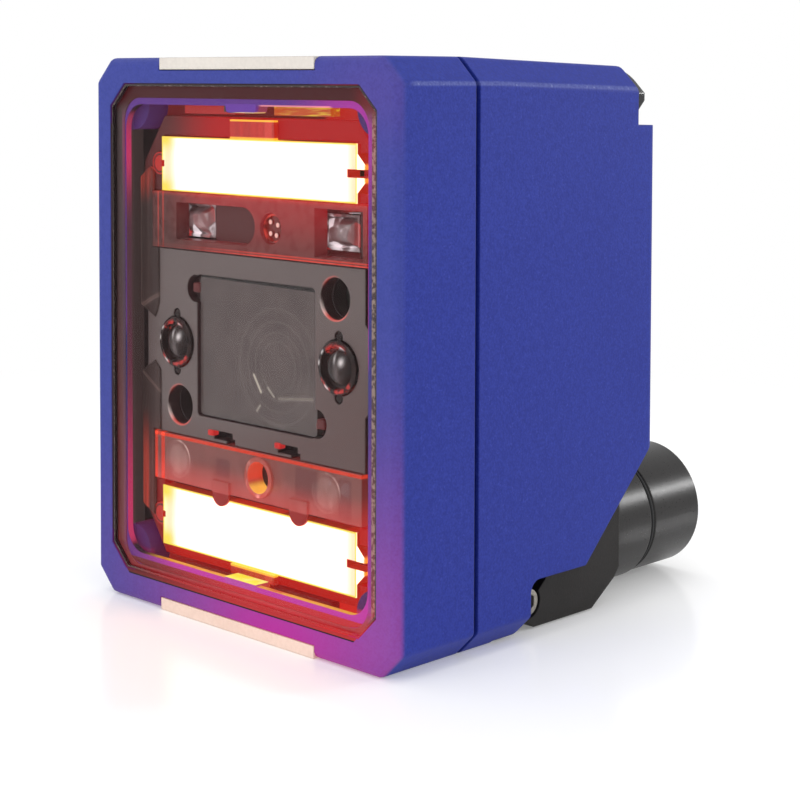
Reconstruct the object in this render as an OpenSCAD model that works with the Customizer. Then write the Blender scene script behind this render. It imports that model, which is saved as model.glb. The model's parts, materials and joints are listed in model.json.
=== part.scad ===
// Compact fixed barcode reader with a swivelling connector block.
// Sizes are in millimetres. The window faces -Y, the connectors leave to +Y and +Z is up.
// The origin is the centre of the base face. Depths are counted from the front face of the frame.

/* [Body] */
// Width of the body
body_w = 46.4; // [44:0.1:52]
// Height of the body at the front
body_h = 58.5; // [57:0.1:64]
// Depth from the front face to the rear face
body_d = 39.3; // [38.5:0.1:46]
// Corner cut of the body outline
corner_cut = 2.5; // [1.5:0.1:3]
// Radius of the outer edges
edge_r = 0.9; // [0.4:0.1:1.2]
// Side wall thickness
wall = 2.2; // [1.8:0.1:2.4]
// Rear wall thickness
rear_wall = 3; // [2:0.1:3.5]
// How much the roof falls towards the rear
roof_fall = 0.8; // [0:0.1:1.2]

/* [Front frame] */
// Depth of the front frame
frame_d = 10.7; // [10.4:0.1:11.2]
// Gap between the frame and the rear housing, filled by the gasket
seam_gap = 0.6; // [0.4:0.1:0.8]
// Border beside the window opening
window_side = 2.7; // [2.4:0.1:3]
// Border above and below the window opening
window_border = 3; // [2.8:0.1:3.3]
// How much higher than the middle the window opening sits
window_rise = 0.3; // [0:0.05:0.4]
// Corner cut of the window opening
window_cut = 2.4; // [1.5:0.1:3]
// Recess of the window behind the front face
window_recess = 0.15; // [0.1:0.05:0.3]
// Thickness of the window
window_t = 0.5; // [0.4:0.05:0.6]
// Thickness of the window tape
tape_t = 0.1; // [0.05:0.05:0.2]
// Width of the lip beside its opening
lip_side = 1.8; // [1.6:0.1:2.4]
// Width of the lip above and below its opening
lip_end = 1.15; // [1:0.05:1.4]
// How far the tape stays back from the lip's edge
tape_setback = 0.1; // [0.05:0.05:0.4]
// Corner radius of the lip opening
lip_r = 2.6; // [1.5:0.1:4]
// Thickness of the lip
lip_t = 1.1; // [0.9:0.05:1.2]
// Room beside an indicator light guide
guide_side = 11.3; // [9:0.1:13]
// Height of an indicator light guide
guide_h = 1.25; // [1:0.05:1.5]
// Depth of an indicator light guide
guide_d = 5; // [4.5:0.1:6]

/* [Optics] */
// Depth of the optics plate behind the front face
optics_d = 2.75; // [2.6:0.05:3]
// Thickness of the optics plate
plate_t = 1.6; // [1.4:0.1:2]
// Room beside the optics plate
plate_side = 2.5; // [2:0.1:2.8]
// Height of the optics plate as a share of the lip opening
plate_share = 0.394; // [0.385:0.001:0.4]
// Width of the lens cover as a share of the lip opening
cover_share = 0.484; // [0.44:0.001:0.49]
// Border of the plate above and below the lens cover
cover_border = 2.5; // [2.3:0.1:3]
// Radius of an aimer lens
aimer_r = 2.7; // [2:0.1:2.8]
// Radius of the camera lens barrel
barrel_r = 6.2; // [5:0.1:6.6]
// Room beside an illuminator bar
bar_side = 3.7; // [3.6:0.1:5]
// Height of the upper illuminator bar as a share of the lip opening
upper_bar_share = 0.1155; // [0.1:0.0005:0.118]
// Height of the lower illuminator bar as a share of the lip opening
lower_bar_share = 0.1275; // [0.11:0.0005:0.13]
// Height of the upper lens carrier as a share of the lip opening
upper_carrier_share = 0.1195; // [0.115:0.0005:0.122]
// Height of the lower lens carrier as a share of the lip opening
lower_carrier_share = 0.1015; // [0.098:0.0005:0.104]

/* [Rear housing] */
// Drop from the roof's front to the ledge below the operator strip
ledge_drop = 7; // [6.8:0.1:7.4]
// Depth of the recess above that ledge
ledge_d = 3.1; // [2.9:0.1:3.4]
// Height at which the rear face turns into the cheek slope
slope_z = 17.5; // [17:0.1:18.5]
// Height of the lower edge of the cheeks
cheek_z = 6.1; // [5.5:0.1:6.6]
// Depth of the step in front of the connector block
cheek_d = 19.2; // [18.6:0.1:20]
// Distance of the rear mounting holes from the sides
mount_side = 10.2; // [9.5:0.1:12]
// Distance of the rear mounting holes from the ledge and from the connector block's room
mount_end = 6.625; // [5:0.025:8]
// Radius of the rear mounting holes, tapped for M4
mount_r = 1.65; // [1.2:0.05:2]
// Depth of the rear mounting holes
mount_depth = 6; // [4:0.1:8]

/* [Operator strip] */
// Room beside the operator strip
strip_side = 1.2; // [1:0.1:3]
// Height of the operator strip
strip_h = 5.8; // [5.6:0.1:5.9]
// Thickness of the operator strip
strip_t = 2.6; // [2.5:0.1:2.7]
// Radius of the button
button_r = 1.3; // [1:0.1:1.4]
// Travel of the button
button_travel = 0.5; // [0.3:0.1:0.6]
// Radius of a status light pipe
pipe_r = 0.6; // [0.4:0.05:0.7]

/* [Connector block] */
// Thickness of the cheeks beside the connector block
cheek_t = 2.2; // [1.9:0.05:3]
// Depth of the swivel axis behind the front face
pivot_d = 27.5; // [27.3:0.1:28]
// Height of the swivel axis above the base
pivot_z = 10.5; // [10.3:0.1:10.7]
// Radius that the block sweeps about the swivel axis
block_r = 11.4; // [11.2:0.1:11.5]
// Depth of the block's rear face behind the swivel axis
block_rear = 9.3; // [9:0.1:9.4]
// Radius of a pivot pin
pivot_r = 1.75; // [1.2:0.05:2]
// Distance of a connector axis from the side of the block
connector_side = 7.55; // [7.45:0.05:9]
// Height of the connector axes above the base
connector_z = 7.3; // [7.2:0.05:7.6]
// Radius of a connector collar
collar_r = 7.15; // [6.8:0.05:7.2]
// Length of a connector collar
collar_l = 6.6; // [6:0.1:9]
// Radius of a connector sleeve
sleeve_r = 6.95; // [6.6:0.05:7.1]
// Length of a connector sleeve
sleeve_l = 8.6; // [7:0.1:12]
// Radius of a connector socket at the crests of its M12 thread
socket_r = 5.45; // [5:0.05:5.8]
// Radius of a contact
contact_r = 0.35; // [0.25:0.05:0.45]

/* [Fits] */
// Clearance between fixed pieces
fit = 0.1; // [0.05:0.05:0.15]
// Clearance round the swivelling block
swivel_gap = 0.35; // [0.3:0.05:0.5]
// Radial clearance of a pivot pin in its hole
running_gap = 0.05; // [0.02:0.01:0.1]

/* [Hidden] */
$fn = 64;
hull_fn = 32;
eps = 0.01;
over = 1;
base_d = pivot_d - block_r - swivel_gap;
front_y = -base_d / 2;
tilt45 = 2 - sqrt(2);

// Depths of the front stack
window_front = window_recess;
tape_front = window_front + window_t;
lip_front = tape_front + tape_t;
lip_back = lip_front + lip_t;
plate_back = optics_d + plate_t;
seam_d = frame_d + seam_gap;
chassis_back = 9;
board_t = 1.2;
led_h = 0.8;

// Window opening and lip
window_w = body_w - 2 * window_side;
window_h = body_h - 2 * window_border;
lip_w = window_w - 2 * lip_side;
lip_h = window_h - 2 * lip_end;
lip_drop = 0.2;
window_z = window_border + window_rise;
notch_w = 4.6;
upper_notch_h = 1.2;
lower_notch_h = 0.75;
tongue_back = 3.2;
lip_z = body_h / 2 - lip_drop - lip_h / 2;
guide_w = body_w - 2 * guide_side;

// Places on the optics are drawn for this lip opening and follow the real one
drawn_w = 37.4;
drawn_h = 50.2;
function across(x) = x * lip_w / drawn_w;
function up(z) = z * lip_h / drawn_h;

frame_inner_w = body_w - 2 * wall;
frame_inner_z = 2.4;

// Heights of the front rows, from the camera axis up and down
row_gap = 0.1;
plate_h = plate_share * lip_h;
plate_w = lip_w - 2 * plate_side;
plate_tab = 1.3;
plate_tab_h = 6.4;
optical_z = lip_z + up(24.3);
plate_z = optical_z - plate_h / 2;
plate_tab_low = optical_z - plate_tab_h / 2 - plate_tab - 0.1;
plate_tab_top = optical_z + plate_tab_h / 2 + plate_tab + 0.1;
cover_w = cover_share * lip_w;
cover_h = plate_h - 2 * cover_border;
aimer_x = across(12.5);
bar_w = lip_w - 2 * bar_side;
upper_bar_h = upper_bar_share * lip_h;
lower_bar_h = lower_bar_share * lip_h;
upper_carrier_h = upper_carrier_share * lip_h;
lower_carrier_h = lower_carrier_share * lip_h;
upper_carrier_z = plate_z + plate_h + row_gap;
upper_bar_z = upper_carrier_z + upper_carrier_h + row_gap;
lower_carrier_z = plate_z - row_gap - lower_carrier_h;
hook_gap = 0.7;
clip_r = 1.2;
clip_out = 0.4;
lower_bar_z = lower_carrier_z - hook_gap - lower_bar_h;
tray_w = lip_w - 0.6;
tray_front = 3.1;
tray_top_z = upper_bar_z + upper_bar_h + up(2.2);
tray_low_z = lower_bar_z - up(1);
carrier_front = 2.6;
flood_x = across(10.9);
range_x = across(2.7);
range_r = 1.5;
flood_w = 5;
flood_front = 4.8;

// Screws
screw_x = body_w / 2 - 4.5;
screw_low_z = 5;
screw_high_z = body_h - screw_low_z;
screw_r = 1.2;
head_r = 1.9;
head_h = 1.9;
boss_r = 2.7;
post_r = 3;
post_tip_r = 2.2;
ear_t = 1;
boss_back = frame_d - ear_t;
head_sink = 2.4;

// Rear housing
ledge_z = body_h - ledge_drop;
block_w = body_w - 2 * (cheek_t + swivel_gap);
connector_x = block_w / 2 - connector_side;
ledge_face = body_d - ledge_d;
cavity_r = block_r + swivel_gap;
cavity_w = block_w + 2 * swivel_gap;
cavity_wall = 2;
cavity_front = pivot_d - cavity_r;
inner_rear = body_d - rear_wall;
mount_z = (ledge_z + pivot_z + cavity_r) / 2;
mount_dx = body_w - 2 * mount_side;
mount_dz = ledge_z - pivot_z - cavity_r - 2 * mount_end;
mount_post_r = 3.4;
processor_back = 26.4;

// Camera
holder_front = chassis_back + board_t;
holder_flange = 3;
sensor_board_front = 18;
barrel_front = 5.4;
barrel_back = sensor_board_front - 2.4;

// Connectors
block_face = pivot_d + block_rear;
block_low = 0.2;
ring_gap = 0.5;
collar_end = block_face + collar_l;
sleeve_start = collar_end + ring_gap;
sleeve_end = sleeve_start + sleeve_l;
ring_r = 6.55;
insert_r = 4.1;
insert_face = collar_end - 0.4;
bay_r = socket_r - 0.25;
contact_l = 4.2;
thread_start = insert_face + contact_l + 0.2;
spigot_r = 5.6;
spigot_l = 4;
lock_r = 1.6;
lock_h = 1;
lock_l = 4;

// Operator strip
strip_w = body_w - 2 * strip_side;
strip_z = ledge_z + 0.1;
button_z = strip_z + 3.5;
strip_rear = ledge_face + strip_t;
button_sink = 1.9;
button_proud = 0.4;
button_gap = 0.3;

// Placing and extruding

module slab(d0, d1) {
  translate([0, front_y + d1, 0]) rotate([90, 0, 0]) linear_extrude(d1 - d0) children();
}

module side_slab(w) {
  translate([-w / 2, front_y, 0]) rotate([90, 0, 90]) linear_extrude(w) children();
}

module rod(x, z, r, d0, d1) {
  translate([x, front_y + d0, z]) rotate([-90, 0, 0]) cylinder(r = r, h = d1 - d0);
}

module turned(x, z) {
  translate([x, front_y, z]) rotate([-90, 0, 0]) rotate_extrude() children();
}

module box(x0, x1, z0, z1, d0, d1) {
  translate([x0, front_y + d0, z0]) cube([x1 - x0, d1 - d0, z1 - z0]);
}

module both_sides() {
  children();
  mirror([1, 0, 0]) children();
}

// Outlines, drawn in X and Z

function cut_points(w, h, c) = [
  [w / 2 - c, 0], [w / 2, c], [w / 2, h - c], [w / 2 - c, h],
  [c - w / 2, h], [-w / 2, h - c], [-w / 2, c], [c - w / 2, 0]
];

module cut_rect(w, h, c, z) {
  translate([0, z]) polygon(cut_points(w, h, c));
}

module round_rect(w, h, r, z) {
  translate([-w / 2 + r, z]) square([w - 2 * r, h]);
  translate([-w / 2, z + r]) square([w, h - 2 * r]);
  for (x = [r - w / 2, w / 2 - r], y = [z + r, z + h - r]) translate([x, y]) circle(r);
}

// A row of thin discs whose hull rounds one end of the body
module soft_rim(d, way, h) {
  pts = cut_points(body_w - 2 * edge_r, h - 2 * edge_r, corner_cut - tilt45 * edge_r);
  for (a = [10:20:90], p = pts)
    translate([p[0], front_y + d + way * edge_r * (1 - cos(a)), p[1] + edge_r])
      rotate([90, 0, 0]) cylinder(r = edge_r * sin(a), h = eps, center = true, $fn = hull_fn);
}

module plain_rim(d, h) {
  for (p = cut_points(body_w - 2 * edge_r, h - 2 * edge_r, corner_cut - tilt45 * edge_r))
    translate([p[0], front_y + d, p[1] + edge_r])
      rotate([90, 0, 0]) cylinder(r = edge_r, h = eps, center = true, $fn = hull_fn);
}

// Front frame and what sits in it

module guide_notches() {
  half = guide_w / 2 + fit;
  for (z = [[-over, guide_h + fit], [body_h - guide_h - fit, body_h + over]])
    box(-half, half, z[0], z[1], -over, guide_d + fit);
}

module guide_leg(z0, z1, gap) {
  both_sides() box(guide_w / 2 - 8.9 - gap, guide_w / 2 - 0.7 + gap, z0, z1, lip_back + 1 - gap,
    plate_back - 0.2 + gap);
}

module lip_tongue() {
  cut = 0.8;
  half = notch_w / 2;
  polygon([
    [-half, lip_front], [half, lip_front], [half, tongue_back - cut], [half - cut, tongue_back],
    [cut - half, tongue_back], [-half, tongue_back - cut]
  ]);
}

module front_frame() color("#2f3f9f") difference() {
  union() {
    difference() {
      hull() {
        soft_rim(0, 1, body_h);
        plain_rim(frame_d - eps / 2, body_h);
      }
      slab(-over, lip_front) cut_rect(window_w, window_h, window_cut, window_z);
      slab(0, frame_d) round_rect(lip_w, lip_h, lip_r, lip_z);
      slab(lip_back, frame_d + over)
        cut_rect(frame_inner_w, body_h - 2 * frame_inner_z, corner_cut - 1, frame_inner_z);
    }
    for (z = [screw_low_z, screw_high_z]) both_sides() rod(screw_x, z, boss_r, lip_back - eps, boss_back);
    // notches of the lip at the middle of its width, the lower one with a tongue to the back
    box(-notch_w / 2, notch_w / 2, lip_z + lip_h - upper_notch_h, lip_z + lip_h + eps, lip_front, lip_back);
    translate([0, front_y, lip_z - eps]) linear_extrude(lower_notch_h + eps) lip_tongue();
  }
  guide_notches();
  guide_leg(-over, lip_z, fit);
  guide_leg(body_h - lip_z, body_h, fit);
  for (z = [screw_low_z, screw_high_z]) both_sides() rod(screw_x, z, screw_r + fit, lip_back + 2, frame_d);
}

module front_window() color("#30282b", 0.4) {
  slab(window_front, tape_front)
    cut_rect(window_w - 2 * fit, window_h - 2 * fit, window_cut, window_z + fit);
}

module window_tape() color("#141214") slab(tape_front, lip_front) difference() {
  cut_rect(window_w - 4 * fit, window_h - 4 * fit, window_cut, window_z + 2 * fit);
  round_rect(lip_w + 2 * tape_setback, lip_h + 2 * tape_setback, lip_r, lip_z - tape_setback);
}

module indicator_guide(z0, z1, leg0, leg1) {
  color("#dedbd0") union() {
    box(-guide_w / 2, guide_w / 2, z0, z1, eps, guide_d);
    guide_leg(leg0, leg1, 0);
  }
}

module upper_indicator_guide() {
  indicator_guide(body_h - guide_h, body_h - eps, tray_top_z + 0.3, body_h - guide_h + eps);
}

module lower_indicator_guide() {
  indicator_guide(eps, guide_h, guide_h - eps, tray_low_z - 0.3);
}

module frame_gasket() color("#101014") slab(frame_d, seam_d) difference() {
  cut_rect(body_w - 1, body_h - 1, corner_cut, 0.5);
  cut_rect(frame_inner_w + 0.4, body_h - 2 * frame_inner_z + 0.4, corner_cut - 1, frame_inner_z - 0.2);
}

// Rear housing

module cheek_cut() {
  r = 1.3;
  slope_run = slope_z - cheek_z;
  polygon([
    [cheek_d, -over], [cheek_d, cheek_z - r], [cheek_d + r, cheek_z],
    [body_d - slope_run, cheek_z], [body_d, slope_z], [body_d + over, slope_z], [body_d + over, -over]
  ]);
  translate([cheek_d + r, cheek_z - r]) circle(r);
}

module swivel_room(r) {
  translate([pivot_d, pivot_z]) circle(r);
  translate([pivot_d - r, -10]) square([body_d, pivot_z + 10]);
  translate([pivot_d, -10]) square([body_d, pivot_z + r + 10]);
}

module ledge_cut() {
  polygon([
    [ledge_face, body_h + over], [ledge_face, ledge_z], [body_d - 0.4, ledge_z],
    [body_d + over, ledge_z - 1.4], [body_d + over, body_h + over]
  ]);
}

// Everything outside a rounded corner whose middle is at the origin
module corner_waste(r) {
  difference() {
    square(r + over);
    circle(r);
  }
}

module inner_room() {
  difference() {
    polygon([
      [seam_d - over, frame_inner_z], [inner_rear, frame_inner_z], [inner_rear, ledge_z - rear_wall],
      [ledge_face - rear_wall, ledge_z - rear_wall],
        [ledge_face - rear_wall, body_h - frame_inner_z - roof_fall],
      [seam_d - over, body_h - frame_inner_z]
    ]);
    swivel_room(cavity_r + cavity_wall);
  }
}

module at_mount_holes() {
  for (z = [mount_z - mount_dz / 2, mount_z + mount_dz / 2]) both_sides()
    translate([mount_dx / 2, 0, z]) children();
}

// Height of the falling roof at a depth
function roof_z(d) = body_h - roof_fall * (d - seam_d) / (body_d - edge_r - seam_d);

module rear_housing() color("#2c3a98") difference() {
  roof_r = 0.6;
  foot_r = 1;
  // the rounded corners cross the faces beside them at a small angle
  bite = 0.04;
  rear_h = body_h - roof_fall;
  union() {
    difference() {
      hull() {
        plain_rim(seam_d + eps / 2, body_h);
        soft_rim(body_d, -1, rear_h);
      }
      side_slab(frame_inner_w) inner_room();
    }
    both_sides() {
      rod(screw_x, screw_high_z, post_r, seam_d, ledge_face - over);
      rod(screw_x, screw_low_z, post_r, seam_d, cavity_front - over);
      for (z = [screw_low_z, screw_high_z]) rod(screw_x, z, post_tip_r, frame_d, seam_d + over);
    }
    at_mount_holes() rod(0, 0, mount_post_r, processor_back, body_d - over);
  }
  side_slab(body_w + 2 * over) {
    ledge_cut();
    cheek_cut();
    translate([ledge_face - roof_r, roof_z(ledge_face - roof_r) - roof_r + bite]) corner_waste(roof_r);
    translate([cheek_d - foot_r + bite, foot_r - bite]) mirror([0, 1]) corner_waste(foot_r);
  }
  side_slab(cavity_w) swivel_room(cavity_r);
  both_sides() {
    rod(screw_x, screw_high_z, screw_r + fit, frame_d - over, body_d);
    rod(screw_x, screw_high_z, head_r + fit, ledge_face - head_sink, body_d);
    rod(screw_x, screw_low_z, screw_r + fit, frame_d - over, cavity_front + over);
    rod(screw_x, screw_low_z, head_r + fit, cavity_front - head_sink, cavity_front + over);
    translate([cavity_w / 2 - over, front_y + pivot_d, pivot_z]) rotate([0, 90, 0])
      cylinder(r = pivot_r + running_gap, h = over + 1.6);
  }
  at_mount_holes() {
    rod(0, 0, mount_r, body_d - mount_depth, body_d + over);
    rod(0, 0, screw_r + fit, processor_back - over, processor_back + 5);
  }
}

module cap_screw(x, z, r, tip, head) {
  rod(x, z, r, tip, head + eps);
  difference() {
    rod(x, z, head_r, head, head + head_h);
    translate([x, front_y + head + 1, z]) rotate([-90, 0, 0]) cylinder(r = 1.05, h = head_h, $fn = 6);
  }
}

module frame_screws() color("#8a8d92") both_sides() {
  cap_screw(screw_x, screw_high_z, screw_r, lip_back + 3, ledge_face - head_sink);
  cap_screw(screw_x, screw_low_z, screw_r, lip_back + 3, cavity_front - head_sink);
}

// Optics

module at_camera_screws() {
  for (s = [-1, 1]) translate([s * across(12), 0, optical_z + s * up(6.7)]) children();
}

module tray_outline(z0, z1, way) {
  cut_x = across(3.5);
  cut_z = up(5);
  far = way > 0 ? z1 : z0;
  near = way > 0 ? z0 : z1;
  polygon([
    [-tray_w / 2, near], [tray_w / 2, near], [tray_w / 2, far - way * cut_z], [tray_w / 2 - cut_x, far],
    [cut_x - tray_w / 2, far], [-tray_w / 2, far - way * cut_z]
  ]);
}

// Rails beside the plate, cut off slanting where the plate's tabs pass between them
module side_rails() {
  rail_x = lip_w / 2 - 1.75;
  rail_w = 1.5;
  slant = 1.3;
  for (run = [[lower_bar_z + lower_bar_h + 0.7, plate_tab_low], [upper_bar_z - 0.2, plate_tab_top]]) {
    way = sign(run[0] - run[1]);
    slab(tray_front - 0.2, plate_back + eps) polygon([
      [rail_x, run[0]], [rail_x + rail_w, run[0]], [rail_x + rail_w, run[1]], [rail_x, run[1] + way * slant]
    ]);
  }
}

module optics_chassis() color("#191719") difference() {
  chassis_w = body_w - 2 * wall - 1.4;
  union() {
    slab(plate_back, chassis_back) cut_rect(chassis_w, body_h - 6, 2, 3);
    both_sides() side_rails();
    for (z = [3.4, body_h - 9]) both_sides() box(chassis_w / 2 - 6.7, chassis_w / 2, z, z + 5.6,
      chassis_back - eps, frame_d);
  }
  for (z = [screw_low_z, screw_high_z]) both_sides() {
    rod(screw_x, z, boss_r + fit, 0, boss_back);
    rod(screw_x, z, screw_r + fit, 0, frame_d + over);
  }
  // light wells behind the bars
  for (row = [[upper_bar_z, upper_bar_h], [lower_bar_z, lower_bar_h]])
    box(-bar_w / 2 + 0.6, bar_w / 2 - 0.6, row[0] + 0.6, row[0] + row[1] - 0.6, 0, chassis_back + over);
  // wells of the flood lenses
  for (row = [[upper_carrier_z, upper_carrier_h], [lower_carrier_z, lower_carrier_h]])
    both_sides() box(flood_x - 3, flood_x + 3, row[0] + 0.6, row[0] + row[1] - 0.6, 0, chassis_back + over);
  rod(range_x, upper_carrier_z + upper_carrier_h / 2, range_r + fit, 0, chassis_back + over);
  // camera well, aimer wells and screw wells
  box(-across(8.2), across(8.2), optical_z - up(6.8), optical_z + up(6.8), 0, chassis_back + over);
  rod(0, optical_z, barrel_r + 3 * fit, 0, chassis_back + over);
  both_sides() rod(aimer_x, optical_z, aimer_r - 0.7, 0, chassis_back + over);
  at_camera_screws() {
    rod(0, 0, head_r + fit, 0, chassis_back - over);
    rod(0, 0, screw_r + fit, 0, chassis_back + over);
  }
}

module cover_recess(gap) {
  round_rect(cover_w + 2 * gap, cover_h + 2 * gap, 0.5, optical_z - cover_h / 2 - gap);
}

module plate_outline() {
  tab = plate_tab;
  tab_h = plate_tab_h;
  half = plate_w / 2;
  translate([-half, plate_z]) square([plate_w, plate_h]);
  polygon([
    [half + tab, optical_z - tab_h / 2], [half + tab, optical_z + tab_h / 2],
      [half, optical_z + tab_h / 2 + tab],
    [-half, optical_z + tab_h / 2 + tab], [-half - tab, optical_z + tab_h / 2],
    [-half - tab, optical_z - tab_h / 2], [-half, optical_z - tab_h / 2 - tab],
      [half, optical_z - tab_h / 2 - tab]
  ]);
}

module optics_plate() color("#4a4344") difference() {
  cover_back = optics_d + 1.2;
  slab(optics_d, plate_back) plate_outline();
  slab(0, cover_back) cover_recess(fit);
  slab(0, plate_back + over) round_rect(cover_w - 2.4, cover_h - 2.4, 0.5, optical_z - cover_h / 2 + 1.2);
  for (s = [-1, 1]) rod(s * (cover_w / 2 + 0.3), optical_z - s * up(5.95), 1.45, 0, cover_back);
  both_sides() {
    rod(aimer_x, optical_z, aimer_r + fit, 0, plate_back + over);
    for (z = [-1, 1]) rod(aimer_x, optical_z + z * (aimer_r + 0.3), 0.6, 0, plate_back + over);
  }
  at_camera_screws() rod(0, 0, head_r + 0.2, 0, plate_back + over);
  // clip slots at the lower edge
  for (x = [across(-6.4), across(3.6)]) {
    box(x, x + 3, plate_z + 0.3, plate_z + 1.2, 0, plate_back + over);
    box(x + 2, x + 3.4, plate_z - over, plate_z + 0.6, 0, plate_back + over);
  }
}

module lens_cover() color("#565052", 0.6) slab(optics_d + 0.4, optics_d + 1.2) cover_recess(0);

module aimer_lens(x) {
  dome = 0.85;
  dome_r = (aimer_r * aimer_r + dome * dome) / (2 * dome);
  base = optics_d + 0.4;
  color("#d8d4d2", 0.5) union() {
    rod(x, optical_z, aimer_r, base, plate_back);
    intersection() {
      rod(x, optical_z, aimer_r, base - dome - over, base + eps);
      translate([x, front_y + base - dome + dome_r, optical_z]) sphere(dome_r);
    }
    for (z = [-1, 1]) rod(x, optical_z + z * (aimer_r + 0.3), 0.6 - fit, base, plate_back);
  }
}

module left_aimer_lens() aimer_lens(-aimer_x);

module right_aimer_lens() aimer_lens(aimer_x);

module light_tray(z0, z1, way, bar_z, bar_h) {
  color("#5b3436") difference() {
    slab(tray_front, plate_back) tray_outline(z0, z1, way);
    box(-bar_w / 2 - fit, bar_w / 2 + fit, bar_z - fit - (way > 0 ? over : 0),
      bar_z + bar_h + fit + (way < 0 ? over : 0), 0, plate_back + over);
    // seat of the locating fork
    box(0, bar_w / 2 + 1.4, bar_z + bar_h / 2 - 2, bar_z + bar_h / 2 + 2, 0, plate_back + over);
    // seat of the round clip
    rod(-bar_w / 2 - clip_out, bar_z + bar_h / 2, clip_r + fit, 0, plate_back + over);
  }
}

module upper_light_tray() {
  light_tray(upper_bar_z, tray_top_z, 1, upper_bar_z, upper_bar_h);
}

module lower_light_tray() {
  light_tray(tray_low_z, lower_bar_z + lower_bar_h + 0.5, -1, lower_bar_z, lower_bar_h);
}

module diffuser(bar_z, bar_h, clip_z, clip_h) {
  mid = bar_z + bar_h / 2;
  color("#fff4dc") difference() {
    union() {
      slab(optics_d, plate_back) {
        translate([-bar_w / 2, bar_z]) square([bar_w, bar_h]);
        // locating fork on the right, round clip on the left
        polygon([
          [bar_w / 2 - eps, mid + 1.9], [bar_w / 2 + 1.3, mid + 0.6], [bar_w / 2 + 1.3, mid - 0.6],
          [bar_w / 2 - eps, mid - 1.9]
        ]);
        translate([-bar_w / 2 - clip_out, mid]) circle(clip_r);
      }
      box(-3.4, 3.4, clip_z, clip_z + clip_h, optics_d - 0.3, tray_front - fit);
    }
    box(bar_w / 2 - 1.2, bar_w / 2 + 2, mid - 0.35, mid + 0.35, 0, plate_back + over);
    box(-bar_w / 2 - 0.1, -bar_w / 2 + 0.4, mid - 0.35, mid + 0.35, 0, tray_front);
  }
}

module upper_diffuser() {
  diffuser(upper_bar_z, upper_bar_h, upper_bar_z + upper_bar_h - eps, 2);
}

module lower_diffuser() {
  diffuser(lower_bar_z, lower_bar_h, lower_bar_z - 1 + eps, 1);
}

module upper_lens_carrier() color("#7a3437", 0.8) {
  mid = upper_carrier_z + upper_carrier_h / 2;
  pocket_r = up(1.95);
  pocket_x = across(-1.65);
  difference() {
    box(1.9 - lip_w / 2, lip_w / 2 - 2.1, upper_carrier_z, upper_carrier_z + upper_carrier_h,
      carrier_front, plate_back);
    // left pocket with a round end, right pocket, sensor hole
    box(across(-12.4), pocket_x, mid - pocket_r, mid + pocket_r, 0, plate_back + over);
    rod(pocket_x, mid, pocket_r, 0, plate_back + over);
    box(across(9.2), across(16), mid - up(2.4), mid + up(2.4), 0, plate_back + over);
    rod(range_x, mid, range_r + fit, 0, plate_back + over);
  }
}

module lower_lens_carrier() color("#c79a94", 0.5) {
  mid = lower_carrier_z + lower_carrier_h / 2;
  ring_x = across(1);
  hook_r = 1.3;
  hook_t = 0.3;
  difference() {
    union() {
      box(2.5 - lip_w / 2, lip_w / 2 - 2.8, lower_carrier_z, lower_carrier_z + lower_carrier_h,
        carrier_front, plate_back);
      rod(ring_x, mid, 2.1, carrier_front - 0.25, carrier_front + eps);
      // hooks over the top edge of the lower bar
      slab(carrier_front - hook_t, carrier_front + eps) for (x = [across(-4.9), across(7.1)]) {
        translate([x, lower_carrier_z - hook_gap + hook_r / 2]) circle(hook_r);
        translate([x - hook_r, lower_carrier_z - hook_gap + hook_r / 2]) square([2 * hook_r, hook_r]);
      }
    }
    rod(ring_x, mid, 1.6, 0, plate_back + over);
  }
}

module flood_lens(x, mid, h) {
  dome_r = 2.6;
  difference() {
    box(x - flood_w / 2, x + flood_w / 2, mid - h / 2, mid + h / 2, flood_front, chassis_back);
    translate([x, front_y + flood_front - 1.8, mid]) sphere(dome_r);
  }
}

module upper_flood_lenses() color("#e8dcd8", 0.6) {
  for (x = [-flood_x, flood_x]) flood_lens(x, upper_carrier_z + upper_carrier_h / 2, upper_carrier_h - 2.4);
}

module lower_flood_lenses() color("#e8dcd8", 0.6) {
  for (x = [-flood_x, flood_x]) flood_lens(x, lower_carrier_z + lower_carrier_h / 2, lower_carrier_h - 1.6);
}

module range_sensor_lens() color("#b9a6a4", 0.6) {
  mid = upper_carrier_z + upper_carrier_h / 2;
  difference() {
    rod(range_x, mid, range_r, carrier_front + 0.4, chassis_back);
    translate([range_x, front_y + carrier_front - 1.2, mid]) sphere(2);
  }
}

module illumination_board() color("#1d5a34") slab(chassis_back, chassis_back + board_t) difference() {
  wide = frame_inner_w - 2.8;
  narrow = frame_inner_w - 15.6;
  union() {
    translate([-narrow / 2, 3.4]) square([narrow, body_h - 6.8]);
    translate([-wide / 2, 9.6]) square([wide, body_h - 19.2]);
  }
  translate([0, optical_z]) circle(barrel_r + 0.6);
  for (s = [-1, 1]) translate([s * across(12), optical_z + s * up(6.7)]) circle(screw_r + fit);
}

module led(x, z) {
  box(x - 0.8, x + 0.8, z - 0.8, z + 0.8, chassis_back - led_h, chassis_back);
}

module illumination_leds() color("#f2d27a") {
  pitch = bar_w / 6.5;
  for (z = [upper_bar_z + upper_bar_h / 2, lower_bar_z + lower_bar_h / 2],
    i = [-2.5:1:2.5]) led(i * pitch, z);
  both_sides() led(aimer_x, optical_z);
}

module camera_screws() color("#6f7277") at_camera_screws() {
  rod(0, 0, screw_r, chassis_back - over - eps, holder_front + 2.4);
  difference() {
    rod(0, 0, head_r, chassis_back - over - head_h, chassis_back - over);
    translate([0, front_y + chassis_back - over - head_h - eps, 0]) rotate([-90, 0, 0])
      cylinder(r = 1.1, h = 1, $fn = 6);
  }
}

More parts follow.
